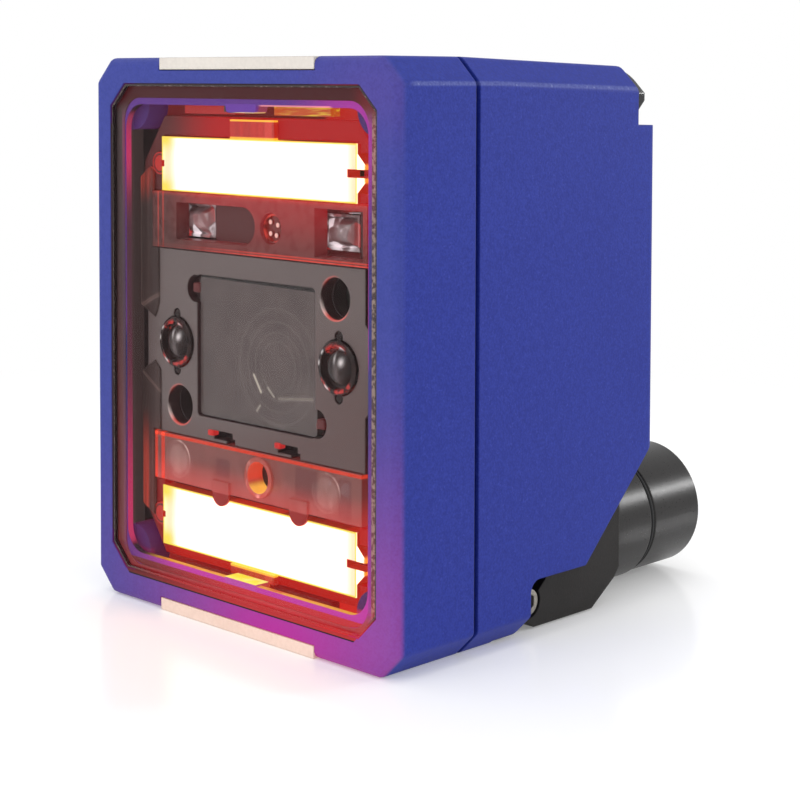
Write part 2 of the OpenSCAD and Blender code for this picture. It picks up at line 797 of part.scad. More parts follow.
module lens_holder() color("#1b1b1e") difference() {
  union() {
    box(-across(15), across(15), optical_z - up(9.2), optical_z + up(9.2), holder_front,
      holder_front + holder_flange);
    rod(0, optical_z, barrel_r + 1, holder_front + holder_flange - eps, barrel_back);
    box(-across(9), across(9), optical_z - up(5.2), optical_z + up(7.4), barrel_back - 2,
      sensor_board_front);
  }
  rod(0, optical_z, barrel_r + fit, 0, barrel_back + eps);
  box(-4.4, 4.4, optical_z - 3.8, optical_z + 3.8, barrel_back - over, sensor_board_front + over);
  at_camera_screws() rod(0, 0, screw_r + fit, 0, holder_front + 2.6);
}

module lens_barrel() color("#101012") turned(0, optical_z) difference() {
  glass_seat = barrel_front + 2.2;
  polygon([
    [3.2, barrel_front], [barrel_r - 0.4, barrel_front], [barrel_r, barrel_front + 0.4],
    [barrel_r, barrel_back], [3.2, barrel_back]
  ]);
  polygon([[0, 0], [5.4, 0], [5.4, barrel_front + 0.2], [4.6, barrel_front + 0.8], [4.6, glass_seat],
    [0, glass_seat]]);
}

module lens_glass() color("#4b5c66", 0.5) turned(0, optical_z) intersection() {
  dome_r = 9;
  translate([0, barrel_front]) square([4.6 - fit, 2.2]);
  translate([0, barrel_front + 0.4 + dome_r]) circle(dome_r);
}

module image_sensor() color("#3a3f52") {
  box(-4.2, 4.2, optical_z - 3.6, optical_z + 3.6, sensor_board_front - 1.4, sensor_board_front);
}

module sensor_board() color("#1d5a34") {
  box(-across(14), across(14), optical_z - up(5.2), optical_z + up(16), sensor_board_front,
    sensor_board_front + board_t);
}

module board_spacers() color("#b79a55") {
  for (z = [optical_z + up(1.5), optical_z + up(14)]) both_sides()
    rod(across(8), z, 1.5, sensor_board_front + board_t, processor_back - board_t);
}

module processor_board() color("#1d5a34") difference() {
  box(1.6 - frame_inner_w / 2, frame_inner_w / 2 - 1.6, pivot_z + cavity_r + cavity_wall + 1,
    ledge_z - rear_wall - 0.6, processor_back - board_t, processor_back);
  at_mount_holes() rod(0, 0, screw_r + fit, 0, processor_back + over);
}

module board_screws() color("#8a8d92") at_mount_holes() {
  rod(0, 0, screw_r, processor_back - board_t - eps, processor_back + 4);
  rod(0, 0, head_r, processor_back - board_t - head_h, processor_back - board_t);
}

// Operator strip

function pipe_places() = [for (s = [-1, 1], i = [0:2]) s * (strip_w / 2 - 4.5 - 3.5 * i)];

// The strip leans out from the ledge, stands upright at the button and is rounded below the roof
module strip_profile() {
  r = 1.4;
  lean_h = 2.5;
  difference() {
    polygon([
      [ledge_face, strip_z], [strip_rear, strip_z + lean_h], [strip_rear, strip_z + strip_h],
      [ledge_face, strip_z + strip_h]
    ]);
    translate([strip_rear - r, strip_z + strip_h - r]) corner_waste(r);
  }
}

module operator_strip() color("#0d0d10") difference() {
  intersection() {
    side_slab(strip_w) strip_profile();
    slab(0, body_d) cut_rect(strip_w, strip_z + strip_h, corner_cut, 0);
  }
  rod(0, button_z, button_r + button_gap, strip_rear - button_sink, body_d);
  for (x = pipe_places()) rod(x, button_z, pipe_r + fit / 2, strip_rear - 1, body_d);
}

module operator_button() color("#3b3d42") {
  turned(0, button_z) polygon([
    [0, strip_rear - button_sink + button_travel + 0.1],
      [button_r, strip_rear - button_sink + button_travel + 0.1],
    [button_r, strip_rear + button_proud - 0.2], [button_r - 0.2, strip_rear + button_proud],
      [0, strip_rear + button_proud]
  ]);
}

module status_light_pipes() color("#cfd6cf") {
  for (x = pipe_places()) rod(x, button_z, pipe_r, strip_rear - 1, strip_rear + 0.05);
}

// Connector block and connectors

module block_profile() {
  intersection() {
    translate([pivot_d, pivot_z]) circle(block_r);
    polygon([
      [0, block_low], [block_face - 4.7, block_low], [block_face, block_low + 3.2], [block_face, body_h],
        [0, body_h]
    ]);
  }
}

module connector_block() color("#201e1e") difference() {
  relief = 1.2;
  side_slab(block_w) block_profile();
  both_sides() {
    rod(connector_x, connector_z, spigot_r + fit / 2, block_face - spigot_l, body_d + over);
    translate([block_w / 2 - 6, front_y + pivot_d, pivot_z]) rotate([0, 90, 0])
      cylinder(r = pivot_r + fit / 2, h = 8);
    translate([(block_w + over) / 2 - relief / 2, 0, 0]) side_slab(relief + over)
      polygon([
        [cavity_front, pivot_z - 7.2], [pivot_d - 4.8, pivot_z - 7.2], [pivot_d - 3, pivot_z - 5.6],
        [pivot_d - 3, pivot_z - 2.5], [cavity_front, pivot_z - 2.5]
      ]);
    at_lock_screw() {
      cylinder(r = lock_r + fit, h = lock_h + over);
      translate([0, 0, -lock_l]) cylinder(r = screw_r + fit / 2, h = lock_l + over);
    }
  }
}

// Cap screw in each side of the block that holds it at the chosen angle
module at_lock_screw() {
  translate([block_w / 2 - lock_h, front_y + pivot_d - 5.6, pivot_z - 7.6]) rotate([0, 90, 0]) children();
}

module lock_screws() color("#8a8d92") both_sides() at_lock_screw() difference() {
  union() {
    translate([0, 0, eps - lock_l]) cylinder(r = screw_r, h = lock_l);
    cylinder(r1 = lock_r, r2 = lock_r - 0.25, h = lock_h - eps);
  }
  translate([0, 0, lock_h - 0.7]) cylinder(r = 0.9, h = over, $fn = 6);
}

module pivot_pins() color("#9a9ca0") both_sides() {
  translate([block_w / 2 - 6, front_y + pivot_d, pivot_z]) rotate([0, 90, 0])
    cylinder(r = pivot_r, h = 6 + swivel_gap + 1.4);
}

module connector_shell(x) {
  c = 0.3;
  color("#262424") turned(x, connector_z) polygon([
    [insert_r, block_face - spigot_l], [spigot_r, block_face - spigot_l], [spigot_r, block_face],
    [collar_r, block_face], [collar_r, collar_end - c], [collar_r - c, collar_end], [ring_r, collar_end],
    [ring_r, sleeve_start], [sleeve_r - c, sleeve_start], [sleeve_r, sleeve_start + c],
    [sleeve_r, sleeve_end - c], [sleeve_r - c, sleeve_end], [socket_r + c, sleeve_end],
    [socket_r, sleeve_end - c], [socket_r, thread_start], [bay_r, thread_start], [bay_r, insert_face],
    [insert_r, insert_face]
  ]);
}

module power_connector() connector_shell(-connector_x);

module network_connector() connector_shell(connector_x);

module connector_seals() color("#0a0a0b") {
  for (x = [-connector_x, connector_x])
    turned(x, connector_z) translate([ring_r + ring_gap / 2, (collar_end + sleeve_start) / 2])
      circle(ring_gap / 2 - eps);
}

module insert(x) rod(x, connector_z, insert_r - fit / 2, block_face - spigot_l, insert_face);

module power_insert() color("#1c1c1f") insert(-connector_x);

module network_insert() color("#1c1c1f") insert(connector_x);

module contact_ring(x, count, r) {
  for (i = [0:count - 1])
    rod(x + r * cos(i * 360 / count), connector_z + r * sin(i * 360 / count), contact_r, insert_face,
      insert_face + contact_l);
}

module power_contacts() color("#d2b46a") {
  contact_ring(-connector_x, 8, 2.9);
  contact_ring(-connector_x, 4, 1.2);
}

module network_contacts() color("#d2b46a") {
  for (sx = [-1, 1], sz = [-1, 1], p = [[1.1, 2.3], [2.3, 1.1]])
    rod(connector_x + sx * p[0], connector_z + sz * p[1], contact_r, insert_face, insert_face + contact_l);
}

module network_shield() color("#b9bcc0") union() {
  t = 0.3;
  l = 3.4;
  box(connector_x - t / 2, connector_x + t / 2, connector_z - l, connector_z + l, insert_face,
    insert_face + contact_l);
  box(connector_x - l, connector_x + l, connector_z - t / 2, connector_z + t / 2, insert_face,
    insert_face + contact_l);
}

front_frame();
front_window();
window_tape();
upper_indicator_guide();
lower_indicator_guide();
frame_gasket();
rear_housing();
frame_screws();
optics_chassis();
optics_plate();
lens_cover();
left_aimer_lens();
right_aimer_lens();
upper_light_tray();
lower_light_tray();
upper_diffuser();
lower_diffuser();
upper_lens_carrier();
lower_lens_carrier();
upper_flood_lenses();
lower_flood_lenses();
range_sensor_lens();
illumination_board();
illumination_leds();
camera_screws();
lens_holder();
lens_barrel();
lens_glass();
image_sensor();
sensor_board();
board_spacers();
processor_board();
board_screws();
operator_strip();
operator_button();
status_light_pipes();
connector_block();
lock_screws();
pivot_pins();
power_connector();
network_connector();
connector_seals();
power_insert();
network_insert();
power_contacts();
network_contacts();
network_shield();
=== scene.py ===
import json
import math

import bmesh
import bpy
from mathutils import Matrix, Vector


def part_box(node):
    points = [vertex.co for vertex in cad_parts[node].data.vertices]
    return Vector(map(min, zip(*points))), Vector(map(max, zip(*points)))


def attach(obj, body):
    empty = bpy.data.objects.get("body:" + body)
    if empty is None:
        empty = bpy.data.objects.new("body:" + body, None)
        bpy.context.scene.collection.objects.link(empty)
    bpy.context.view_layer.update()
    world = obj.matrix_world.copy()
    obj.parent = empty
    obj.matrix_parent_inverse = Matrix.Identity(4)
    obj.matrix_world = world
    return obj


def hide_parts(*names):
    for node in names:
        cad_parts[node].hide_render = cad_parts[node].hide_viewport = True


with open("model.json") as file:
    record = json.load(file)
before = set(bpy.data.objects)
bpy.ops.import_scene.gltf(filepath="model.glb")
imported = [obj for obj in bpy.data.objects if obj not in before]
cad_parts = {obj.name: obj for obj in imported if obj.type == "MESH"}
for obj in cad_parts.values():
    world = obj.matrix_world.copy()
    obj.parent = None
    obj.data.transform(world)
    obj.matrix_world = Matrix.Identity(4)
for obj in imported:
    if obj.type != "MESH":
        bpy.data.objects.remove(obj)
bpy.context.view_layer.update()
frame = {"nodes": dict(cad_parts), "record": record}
nodes = frame["nodes"]
mm = 0.001
halfway = (28.0, 30.0)  # heights between the upper and the lower half of the window
softEdge = 0.00022  # rounding that the shading gives each edge
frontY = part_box("front_frame")[0].y  # front face of the frame
print("frame loaded:", len(nodes), "nodes")


class Wire:
    # one output socket of a shader node, with the sums that materials need
    def __init__(self, tree, socket=None):
        self.tree = tree
        self.socket = socket

    def make(self, kind, settings=None, sockets=None):
        node = self.tree.nodes.new(kind)
        for key, value in (settings or {}).items():
            setattr(node, key, value)
        for key, value in (sockets or {}).items():
            socket = node.inputs[key]
            if isinstance(value, Wire):
                self.tree.links.new(value.socket, socket)
            elif socket.type == "RGBA" and len(value) == 3:
                socket.default_value = (*value, 1.0)
            else:
                socket.default_value = value
        return Wire(self.tree, next((s for s in node.outputs if s.enabled), None))

    def other(self, name):
        return Wire(self.tree, self.socket.node.outputs[name])

    def math(self, operation, first, second=0.0):
        return self.make("ShaderNodeMath", {"operation": operation}, {0: first, 1: second})

    def __add__(self, other):
        return self.math("ADD", self, other)

    __radd__ = __add__

    def __sub__(self, other):
        return self.math("SUBTRACT", self, other)

    def __rsub__(self, other):
        return self.math("SUBTRACT", other, self)

    def __mul__(self, other):
        return self.math("MULTIPLY", self, other)

    __rmul__ = __mul__

    def __truediv__(self, other):
        return self.math("DIVIDE", self, other)

    def __pow__(self, other):
        return self.math("POWER", self, other)

    def exp(self):
        return self.math("EXPONENT", self)

    def most(self, other):
        return self.math("MAXIMUM", self, other)

    def least(self, other):
        return self.math("MINIMUM", self, other)

    def size(self):
        return self.math("ABSOLUTE", self)

    def smooth(self, low, high):
        return self.make("ShaderNodeMapRange", {"interpolation_type": "SMOOTHSTEP", "clamp": True},
                         {"Value": self, "From Min": low, "From Max": high, "To Min": 0.0, "To Max": 1.0})

    def fade(self, low, high):
        return 1.0 - self.smooth(low, high)

    def tint(self, first, second):
        # colour that runs from first at 0 to second at 1
        mixed = self.make("ShaderNodeMix", {"data_type": "RGBA"}, {"Factor": self, "A": first, "B": second})
        return mixed.other(2)

    def mottle(self, values):
        return self.smooth(0.3, 0.7).tint(values["dark"], values["light"])

    def noise(self, scale, detail):
        return self.make("ShaderNodeTexNoise", {}, {"Vector": self, "Scale": scale, "Detail": detail})

    def stretched(self, x, y, z):
        return self.make("ShaderNodeMapping", {"vector_type": "POINT"}, {"Vector": self, "Scale": (x, y, z)})

    def bump(self, strength, depth):
        edge = self.make("ShaderNodeBevel", {"samples": 6}, {"Radius": softEdge})
        return self.make("ShaderNodeBump", {}, {
            "Height": self, "Strength": strength, "Distance": depth, "Normal": edge})


# shader tools shared by the finishes
finishes = {}


def startFinish(name):
    # empty finish, the place on the object is returned, then its parts in mm: x, depth from the front face, z
    material = bpy.data.materials.new(name)
    material.use_nodes = True
    material.node_tree.nodes.clear()
    finishes[name] = material
    spot = Wire(material.node_tree).make("ShaderNodeTexCoord").other("Object")
    inMm = spot.make("ShaderNodeVectorMath", {"operation": "SCALE"}, {0: spot, "Scale": 1.0 / mm})
    split = spot.make("ShaderNodeSeparateXYZ", {}, {"Vector": inMm})
    return spot, split.other("X"), split.other("Y") - frontY / mm, split.other("Z")


def addUp(lights):
    # sum of coloured lights, each an amount and a colour
    total = None
    for amount, colour in lights:
        part = amount.make("ShaderNodeVectorMath", {"operation": "SCALE"}, {0: colour, "Scale": amount})
        if total:
            part = amount.make("ShaderNodeVectorMath", {"operation": "ADD"}, {0: total, 1: part})
        total = part
    return total


def endFinish(spot, sockets, lights=None):
    # surface with these sockets, lights are what it gives off by itself
    if lights:
        sockets["Emission Color"] = addUp(lights)
        sockets["Emission Strength"] = 1.0
    shader = spot.make("ShaderNodeBsdfPrincipled", {}, sockets)
    spot.make("ShaderNodeOutputMaterial", {}, {"Surface": shader})


def satin(grain, vary, rough, lift, depth, gloss=0.5):
    # sockets of a fine-grained surface: roughness and how far it varies, grain height and depth, gloss
    return {"Roughness": grain * vary + rough, "Specular IOR Level": gloss, "Normal": grain.bump(lift, depth)}


def between(value, low, high, soft):
    return value.smooth(low - soft, low + soft) * value.fade(high - soft, high + soft)


def glowSpot(x, z, midX, midZ, wide, tall):
    dx = (x - midX) / wide
    dz = (z - midZ) / tall
    return ((dx * dx + dz * dz) * -0.5).exp()


def reach(x, z, midX, midZ):
    # distance from a point of the front
    dx = x - midX
    dz = z - midZ
    return (dx * dx + dz * dz) ** 0.5


def nearest(x, z, points):
    # distance from the nearer of two points
    first, second = (reach(x, z, *point) for point in points)
    return first.least(second)


def streak(x, z, startX, startZ, endX, endZ, wide):
    # thin line of light between two points of the front
    runX, runZ = endX - startX, endZ - startZ
    along = ((x - startX) * runX + (z - startZ) * runZ) / (runX * runX + runZ * runZ)
    held = along.most(0.0).least(1.0)
    return glowSpot(x - held * runX, z - held * runZ, startX, startZ, wide, wide)


# blue powder coat of the frame and the housing, with painted red light from the window on the front
paint = {
    "dark": (0.010, 0.021, 0.220),
    "light": (0.018, 0.034, 0.285),
    "fleck": (0.032, 0.050, 0.340),
    "frontDark": (0.032, 0.046, 0.255),
    "frontLight": (0.047, 0.062, 0.315),
    "foot": (0.05, 0.010, 0.011),
    "footGlow": (0.42, 0.012, 0.014),
    "footShadowLine": (0.008, 0.003, 0.005),
    "edgeHighlight": (0.16, 0.19, 0.42),
    "edge": (55.72, 56.12),
    "fall": 0.025,
    "grain": 3800.0,
    "peel": 1300.0,
    "redGlow": (0.40, 0.0, 0.055),
    "lightPool": (0.050, 0.014, 0.250),
    "inner": (0.038, 0.022, 0.023),
    "bossTop": (0.05, 0.004, 0.03),
    "bossLow": (0.07, 0.0, 0.015),
    "deepLeft": (0.034, 0.020, 0.019),
    "deepRight": (0.16, 0.008, 0.006),
    "posts": [(18.7, 53.5), (18.7, 5.0)],
}


def makePaint():
    spot, x, d, z = startFinish("blue_paint")
    grain = spot.noise(paint["grain"], 2.0)
    peel = spot.noise(paint["peel"], 3.0)
    cloud = spot.noise(60.0, 3.0)
    fleck = spot.noise(3000.0, 1.0).smooth(0.64, 0.76)
    mixed = (grain * 0.55 + peel * 0.3 + cloud * 0.15).smooth(0.34, 0.66)
    inside = between(x, -21.1, 21.1, 0.03) * between(z, 2.35, 56.15, 0.03) * d.smooth(0.05, 0.1)
    front = d.fade(0.4, 1.3) * (1.0 - inside)
    # painted highlight: the front gets a lighter coat, as it catches more of the light than the long sides
    sideCoat = mixed.tint(paint["dark"], paint["light"])
    coat = front.tint(sideCoat, mixed.tint(paint["frontDark"], paint["frontLight"]))
    coat = (fleck * 0.5).tint(coat, paint["fleck"])
    # painted highlight: a light line along the upper side edges, which fall to the rear
    fall = (d - 14.0).most(0.0) * paint["fall"]
    edge = between(z + fall, paint["edge"][0], paint["edge"][1], 0.12) * d.smooth(1.5, 2.5)
    edge = edge * x.size().smooth(21.5, 22.0) * (fleck * 0.5 + grain * 0.7)
    coat = edge.tint(coat, paint["edgeHighlight"])
    # painted red light of the bars, strongest in a pool of light above the lower light guide
    redGlow = glowSpot(x, z, 8.0, 2.0, 15.0, 7.5) * 0.72 + glowSpot(x, z, 23.0, 13.0, 5.0, 8.0) * 0.2 \
        + glowSpot(x, z, 20.0, 55.0, 7.0, 4.0) * 0.08
    lightPool = glowSpot(x, z, 6.0, 1.6, 7.0, 1.9)
    coat = (front * lightPool * 0.8).tint(coat, paint["lightPool"])
    # painted shadow line and a band of painted red light under the lower edge of the window
    foot = front * between(z, 2.86, 3.6, 0.02) * (x.size() - z).fade(14.55, 14.65)
    line = z.fade(2.97, 3.03)
    coat = foot.tint(coat, line.tint(paint["foot"], paint["footShadowLine"]))
    # behind the window the coat is darkened as painted shade, only the round screw posts show some colour;
    # painted red light of the bars lies on the low ledge, the posts and the deep inside
    deep = inside * d.fade(9.5, 10.0)
    ledge = inside * z.fade(5.2, 5.6) * d.fade(2.2, 2.5)
    post = deep * nearest(x.size(), z, paint["posts"]).fade(2.7, 2.76)
    towardsRight = x.smooth(-19.0, 3.0) * 0.85 + 0.15
    endFinish(spot, {
        "Base Color": (deep - post * 0.5).tint(coat, paint["inner"]),
        "Roughness": grain * 0.2 + 0.44,
        "Specular IOR Level": 0.2,
        "Normal": (grain * 0.7 + peel * 0.5).bump(0.4, 0.00005),
    }, [
        ((front - foot) * (redGlow + lightPool * 0.3), paint["redGlow"]),
        ((ledge + foot * (1.0 - line)) * towardsRight, paint["footGlow"]),
        ((deep - post) * x.fade(10.0, 14.0), paint["deepLeft"]),
        ((deep - post) * x.smooth(10.0, 14.0), paint["deepRight"]),
        (post * z.smooth(*halfway), paint["bossTop"]),
        (post * z.fade(*halfway), paint["bossLow"]),
    ])


makePaint()

# smoked window, see-through, with a dark printed rim whose edge is slightly rough; light dots on that edge
# are painted glints
window = {
    "colour": (0.06, 0.045, 0.045),
    "cover": 0.05,
    "rim": (0.022, 0.012, 0.012),
    "lowRim": (0.06, 0.004, 0.005),
    "lowGlow": (0.40, 0.010, 0.014),
    "dots": (0.20, 0.145, 0.14),
    "wipe": 90.0,
    "half": (20.4, 26.15),
    "midZ": 29.55,
    "corner": 2.4,
}


def makeWindow():
    spot, x, d, z = startFinish("window_smoke")
    wipe = spot.stretched(0.4, 1.0, 1.6).noise(window["wipe"], 4.0)
    dots = spot.noise(3000.0, 1.0).smooth(0.56, 0.66)
    fromSide = window["half"][0] - x.size()
    fromEnd = window["half"][1] - (z - window["midZ"]).size()
    inset = fromSide.least(fromEnd).least((fromSide + fromEnd - window["corner"]) * 0.7071)
    border = inset.fade(0.14, 0.3)
    # painted red light of the bars on the lower left part of the rim
    low = z.fade(4.0, 6.0) * x.smooth(-19.5, -8.0)
    roughEdge = between(inset, 0.12, 0.3, 0.06) * dots * (1.0 - low)
    ink = low.tint(window["rim"], window["lowRim"])
    endFinish(spot, {
        "Base Color": roughEdge.tint(border.tint(window["colour"], ink), window["dots"]),
        "Roughness": wipe * 0.08 + 0.03,
        "IOR": 1.49,
        "Alpha": (border * (0.94 - low * 0.5)).most(wipe * 0.03 + window["cover"]),
    }, [(border * low, window["lowGlow"])])


makeWindow()

# tape behind the window: dark brown, with painted red light near the bars, stopping short of the lip's edge
# at both sides
tape = {
    "dark": (0.055, 0.034, 0.035),
    "light": (0.080, 0.054, 0.056),
    "top": (0.012, 0.0, 0.0),
    "bareLeft": (0.075, 0.040, 0.070),
    "bareRight": (0.030, 0.034, 0.22),
    "rough": (0.30, 0.225, 0.19),
    "red": (0.58, 0.012, 0.020),
    "topRed": (0.044, 0.0, 0.002),
    "crimson": (0.26, 0.0, 0.05),
    "pink": (0.34, 0.0, 0.09),
    "halfOpening": 18.7,
    "margin": 0.5,
}


def makeTape():
    spot, x, d, z = startFinish("tape_black")
    grain = spot.noise(2600.0, 3.0)
    dots = spot.noise(2400.0, 1.0).smooth(0.4, 0.62)
    runs = spot.stretched(1.0, 1.0, 0.03).noise(1800.0, 2.0)
    right = x.smooth(-1.0, 1.0)
    top = z.smooth(52.5, 54.2)
    sides = between(z, 5.5, 52.5, 1.2)
    # the bare lip beside the tape: purple at the left with painted light of the bars, blue at the right
    bare = (x.size() - tape["halfOpening"] - tape["margin"]).fade(-0.05, 0.05) * sides
    # light dots along the right edge are painted glints on its rough edge
    edgeDots = x.smooth(18.0, 18.6) * (1.0 - bare) * dots * sides
    weave = (grain * 0.6 + runs * 0.4).mottle(tape)
    base = edgeDots.tint(top.tint(weave, tape["top"]), tape["rough"])
    nearBars = glowSpot(x, z, 0.0, 50.0, 80.0, 4.5) + glowSpot(x, z, 0.0, 6.0, 80.0, 9.0)
    endFinish(spot, {
        "Base Color": bare.tint(base, right.tint(tape["bareLeft"], tape["bareRight"])),
        **satin(grain, vary=0.2, rough=0.35, lift=0.15, depth=0.00004, gloss=0.3),
    }, [
        # painted red light of the bars on the tape, painted crimson and pink light on the bare lip
        ((1.0 - bare) * glowSpot(x, z, 5.0, 2.6, 13.0, 2.6), tape["red"]),
        ((1.0 - bare) * (1.0 - right) * glowSpot(x, z, -19.0, 10.0, 6.0, 12.0) * 0.16, tape["red"]),
        ((1.0 - bare) * x.smooth(16.0, 18.5) * nearBars * 0.22, tape["red"]),
        ((1.0 - bare) * top, tape["topRed"]),
        (bare * nearBars * (1.0 - right) * 0.5, tape["crimson"]),
        (bare * nearBars * right, tape["pink"]),
    ])


makeTape()

# plain moulded and painted pieces: colour pair, roughness, grain size, bump, gloss
moulded = {
    "seal_rubber": ((0.006, 0.006, 0.007), (0.012, 0.012, 0.013), 0.6, 3000.0, 0.2, 0.3),
    "board_green": ((0.015, 0.095, 0.040), (0.025, 0.140, 0.060), 0.35, 400.0, 0.05, 0.5),
    "barrel_black": ((0.012, 0.012, 0.014), (0.020, 0.020, 0.023), 0.4, 1800.0, 0.1, 0.5),
    "sensor_die": ((0.040, 0.050, 0.090), (0.060, 0.070, 0.130), 0.12, 900.0, 0.02, 0.5),
    "strip_black": ((0.009, 0.009, 0.011), (0.013, 0.013, 0.016), 0.16, 700.0, 0.02, 0.4),
    "button_grey": ((0.070, 0.071, 0.080), (0.095, 0.096, 0.105), 0.45, 2600.0, 0.15, 0.5),
    "block_black": ((0.012, 0.0105, 0.010), (0.020, 0.0175, 0.0165), 0.5, 4200.0, 0.3, 0.15),
    "insert_black": ((0.018, 0.018, 0.020), (0.028, 0.028, 0.030), 0.5, 2500.0, 0.15, 0.4),
}


def makeMoulded(name, dark, light, rough, grainSize, depth, gloss):
    spot = startFinish(name)[0]
    grain = spot.noise(grainSize, 3.0)
    cloud = spot.noise(140.0, 2.0)
    endFinish(spot, {
        "Base Color": (grain * 0.6 + cloud * 0.4).smooth(0.3, 0.7).tint(dark, light),
        "Roughness": grain * 0.16 + rough - 0.08,
        "Specular IOR Level": gloss,
        "Normal": grain.bump(depth, 0.00005),
    })


for name, values in moulded.items():
    makeMoulded(name, *values)

# metals: colour and roughness, with turning marks
metals = {
    "screw_steel": ((0.27, 0.25, 0.22), 0.36),
    "spacer_brass": ((0.62, 0.45, 0.19), 0.3),
    "contact_gold": ((0.83, 0.60, 0.24), 0.22),
    "shield_metal": ((0.60, 0.60, 0.62), 0.28),
}


def makeMetal(name, colour, rough):
    spot = startFinish(name)[0]
    turned = spot.stretched(0.2, 6.0, 0.2).noise(1500.0, 2.0)
    dim = tuple(c * 0.8 for c in colour)
    endFinish(spot, {
        "Base Color": turned.tint(dim, colour),
        "Metallic": 1.0,
        "Roughness": turned * 0.2 + rough - 0.1,
        "Normal": turned.bump(0.15, 0.00003),
    })


for name, values in metals.items():
    makeMetal(name, *values)

# satin black connector shells with fine turning marks
shell = {"dark": (0.008, 0.007, 0.007), "light": (0.014, 0.012, 0.0115), "rough": 0.3}


def makeShell():
    spot = startFinish("connector_black")[0]
    rings = spot.stretched(0.05, 8.0, 0.05).noise(900.0, 2.0)
    speck = spot.noise(4000.0, 2.0)
    endFinish(spot, {
        "Base Color": (rings * 0.5 + speck * 0.5).mottle(shell),
        "Roughness": speck * 0.14 + shell["rough"] - 0.07,
        "Specular IOR Level": 0.28,
        "Normal": (rings * 0.8 + speck * 0.2).bump(0.05, 0.00002),
    })


makeShell()

# frosted light guides, with painted red, orange and yellow light of the bars on their legs behind the window;
# the third colour of each is a faint painted glow, for the yellow LED its own light
guides = {
    "light_guide_top": ((0.66, 0.61, 0.56), (0.75, 0.70, 0.64), (0.0, 0.0, 0.0)),
    "light_guide_base": ((0.78, 0.60, 0.50), (0.88, 0.70, 0.60), (0.05, 0.02, 0.01)),
    "pipe_clear": ((0.55, 0.60, 0.56), (0.68, 0.73, 0.68), (0.01, 0.015, 0.01)),
    "led_yellow": ((0.75, 0.5, 0.15), (0.9, 0.65, 0.25), (0.8, 0.3, 0.1)),
}
legs = {
    "body": (0.10, 0.008, 0.006),
    "red": (0.40, 0.002, 0.002),
    "orange": (0.50, 0.07, 0.004),
    "yellow": (0.72, 0.48, 0.03),
}


def makeGuide(name, dark, light, glow):
    spot, x, d, z = startFinish(name)
    frost = spot.noise(1900.0, 3.0)
    cloud = spot.noise(160.0, 2.0)
    leg = between(z, 1.35, 57.1, 0.05) * d.fade(5.0, 5.4)
    rows = spot.stretched(0.12, 1.0, 1.5).noise(2200.0, 2.0).smooth(0.5, 0.66)
    right = x.smooth(0.0, 1.0) * z.smooth(*halfway)
    milk = (frost * 0.5 + cloud * 0.5).smooth(0.25, 0.75)
    endFinish(spot, {
        "Base Color": leg.tint(milk.tint(dark, light), legs["body"]),
        **satin(frost, vary=0.2, rough=0.3, lift=0.1, depth=0.00004),
    }, [
        (1.0 - leg, glow),
        (leg * (1.0 - right) * (cloud * 0.8 + 0.5) * (z.smooth(*halfway) * 0.6 + 0.4), legs["red"]),
        (leg * right * (1.0 - rows), legs["orange"]),
        (leg * right * rows, legs["yellow"]),
    ])


for name, values in guides.items():
    makeGuide(name, *values)

# clear moulded optics
clears = {
    "clear_lens": ((0.96, 0.90, 0.89), 0.03, 1.49),
    "coated_glass": ((0.75, 0.82, 0.95), 0.02, 1.52),
}


def makeClear(name, colour, rough, ior):
    spot = startFinish(name)[0]
    flow = spot.noise(420.0, 2.0)
    endFinish(spot, {
        "Base Color": colour,
        "Roughness": flow * 0.06 + rough,
        "IOR": ior,
        "Transmission Weight": 1.0,
        "Normal": flow.bump(0.06, 0.00008),
    })


for name, values in clears.items():
    makeClear(name, *values)

# smoked cover over the camera, with painted reflections of the lens rings and a few painted stray reflections
# behind it
cover = {
    "dark": (0.100, 0.072, 0.069),
    "light": (0.120, 0.088, 0.084),
    "line": (0.012, 0.004, 0.004),
    "solid": 0.86,
    "ringMid": (3.2, 27.2),
    "rings": (2.6, 3.5, 4.6, 5.9),
    "streaks": [
        (-0.50, 26.0, 0.59, 24.38, 0.10, 0.55),
        (1.67, 24.92, 2.58, 24.11, 0.09, 0.30),
        (3.34, 24.0, 8.25, 24.52, 0.14, 0.12),
        (0.0, 22.4, 0.45, 22.95, 0.10, 0.25),
    ],
    "glare": (0.80, 0.74, 0.58),
    "redLine": (0.30, 0.02, 0.02),
    "ring": (1.0, 0.9, 0.85),
}


def makeCover():
    spot, x, d, z = startFinish("cover_smoke")
    flow = spot.noise(260.0, 3.0)
    fromMid = reach(x, z, *cover["ringMid"])
    rings = sum(between(fromMid, radius - 0.12, radius + 0.12, 0.12) for radius in cover["rings"])
    lights = [(streak(x, z, *s[:5]) * s[5], cover["glare"]) for s in cover["streaks"]]
    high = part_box("lens_cover")[1]
    # dark gap along the upper edge, wider to the right, and a broken line of painted red light down the right
    # edge
    topLine = (z + x * 0.012 - (high.z / mm - 0.28)).smooth(-0.04, 0.04)
    broken = spot.noise(1500.0, 1.0).smooth(0.45, 0.55)
    rightLine = between(x, high.x / mm - 0.14, high.x / mm - 0.02, 0.03) * broken
    lights += [(rightLine * 0.5, cover["redLine"]), (rings * 0.02, cover["ring"])]
    endFinish(spot, {
        "Base Color": topLine.tint(flow.mottle(cover), cover["line"]),
        "Roughness": flow * 0.1 + 0.1,
        "Alpha": flow * 0.06 + cover["solid"],
    }, lights)


makeCover()

# grey-brown optics plate, with thin red rims on the screw wells as painted highlights, and painted shade in
# its recesses
plate = {
    "dark": (0.126, 0.092, 0.089),
    "light": (0.150, 0.112, 0.108),
    "warm": (0.108, 0.058, 0.055),
    "recess": (0.042, 0.011, 0.012),
    "wells": [(12.0, 34.95), (-12.0, 21.55)],
    "wellR": 2.1,
    "rim": (0.50, 0.045, 0.03),
    "glint": (0.35, 0.28, 0.26),
}


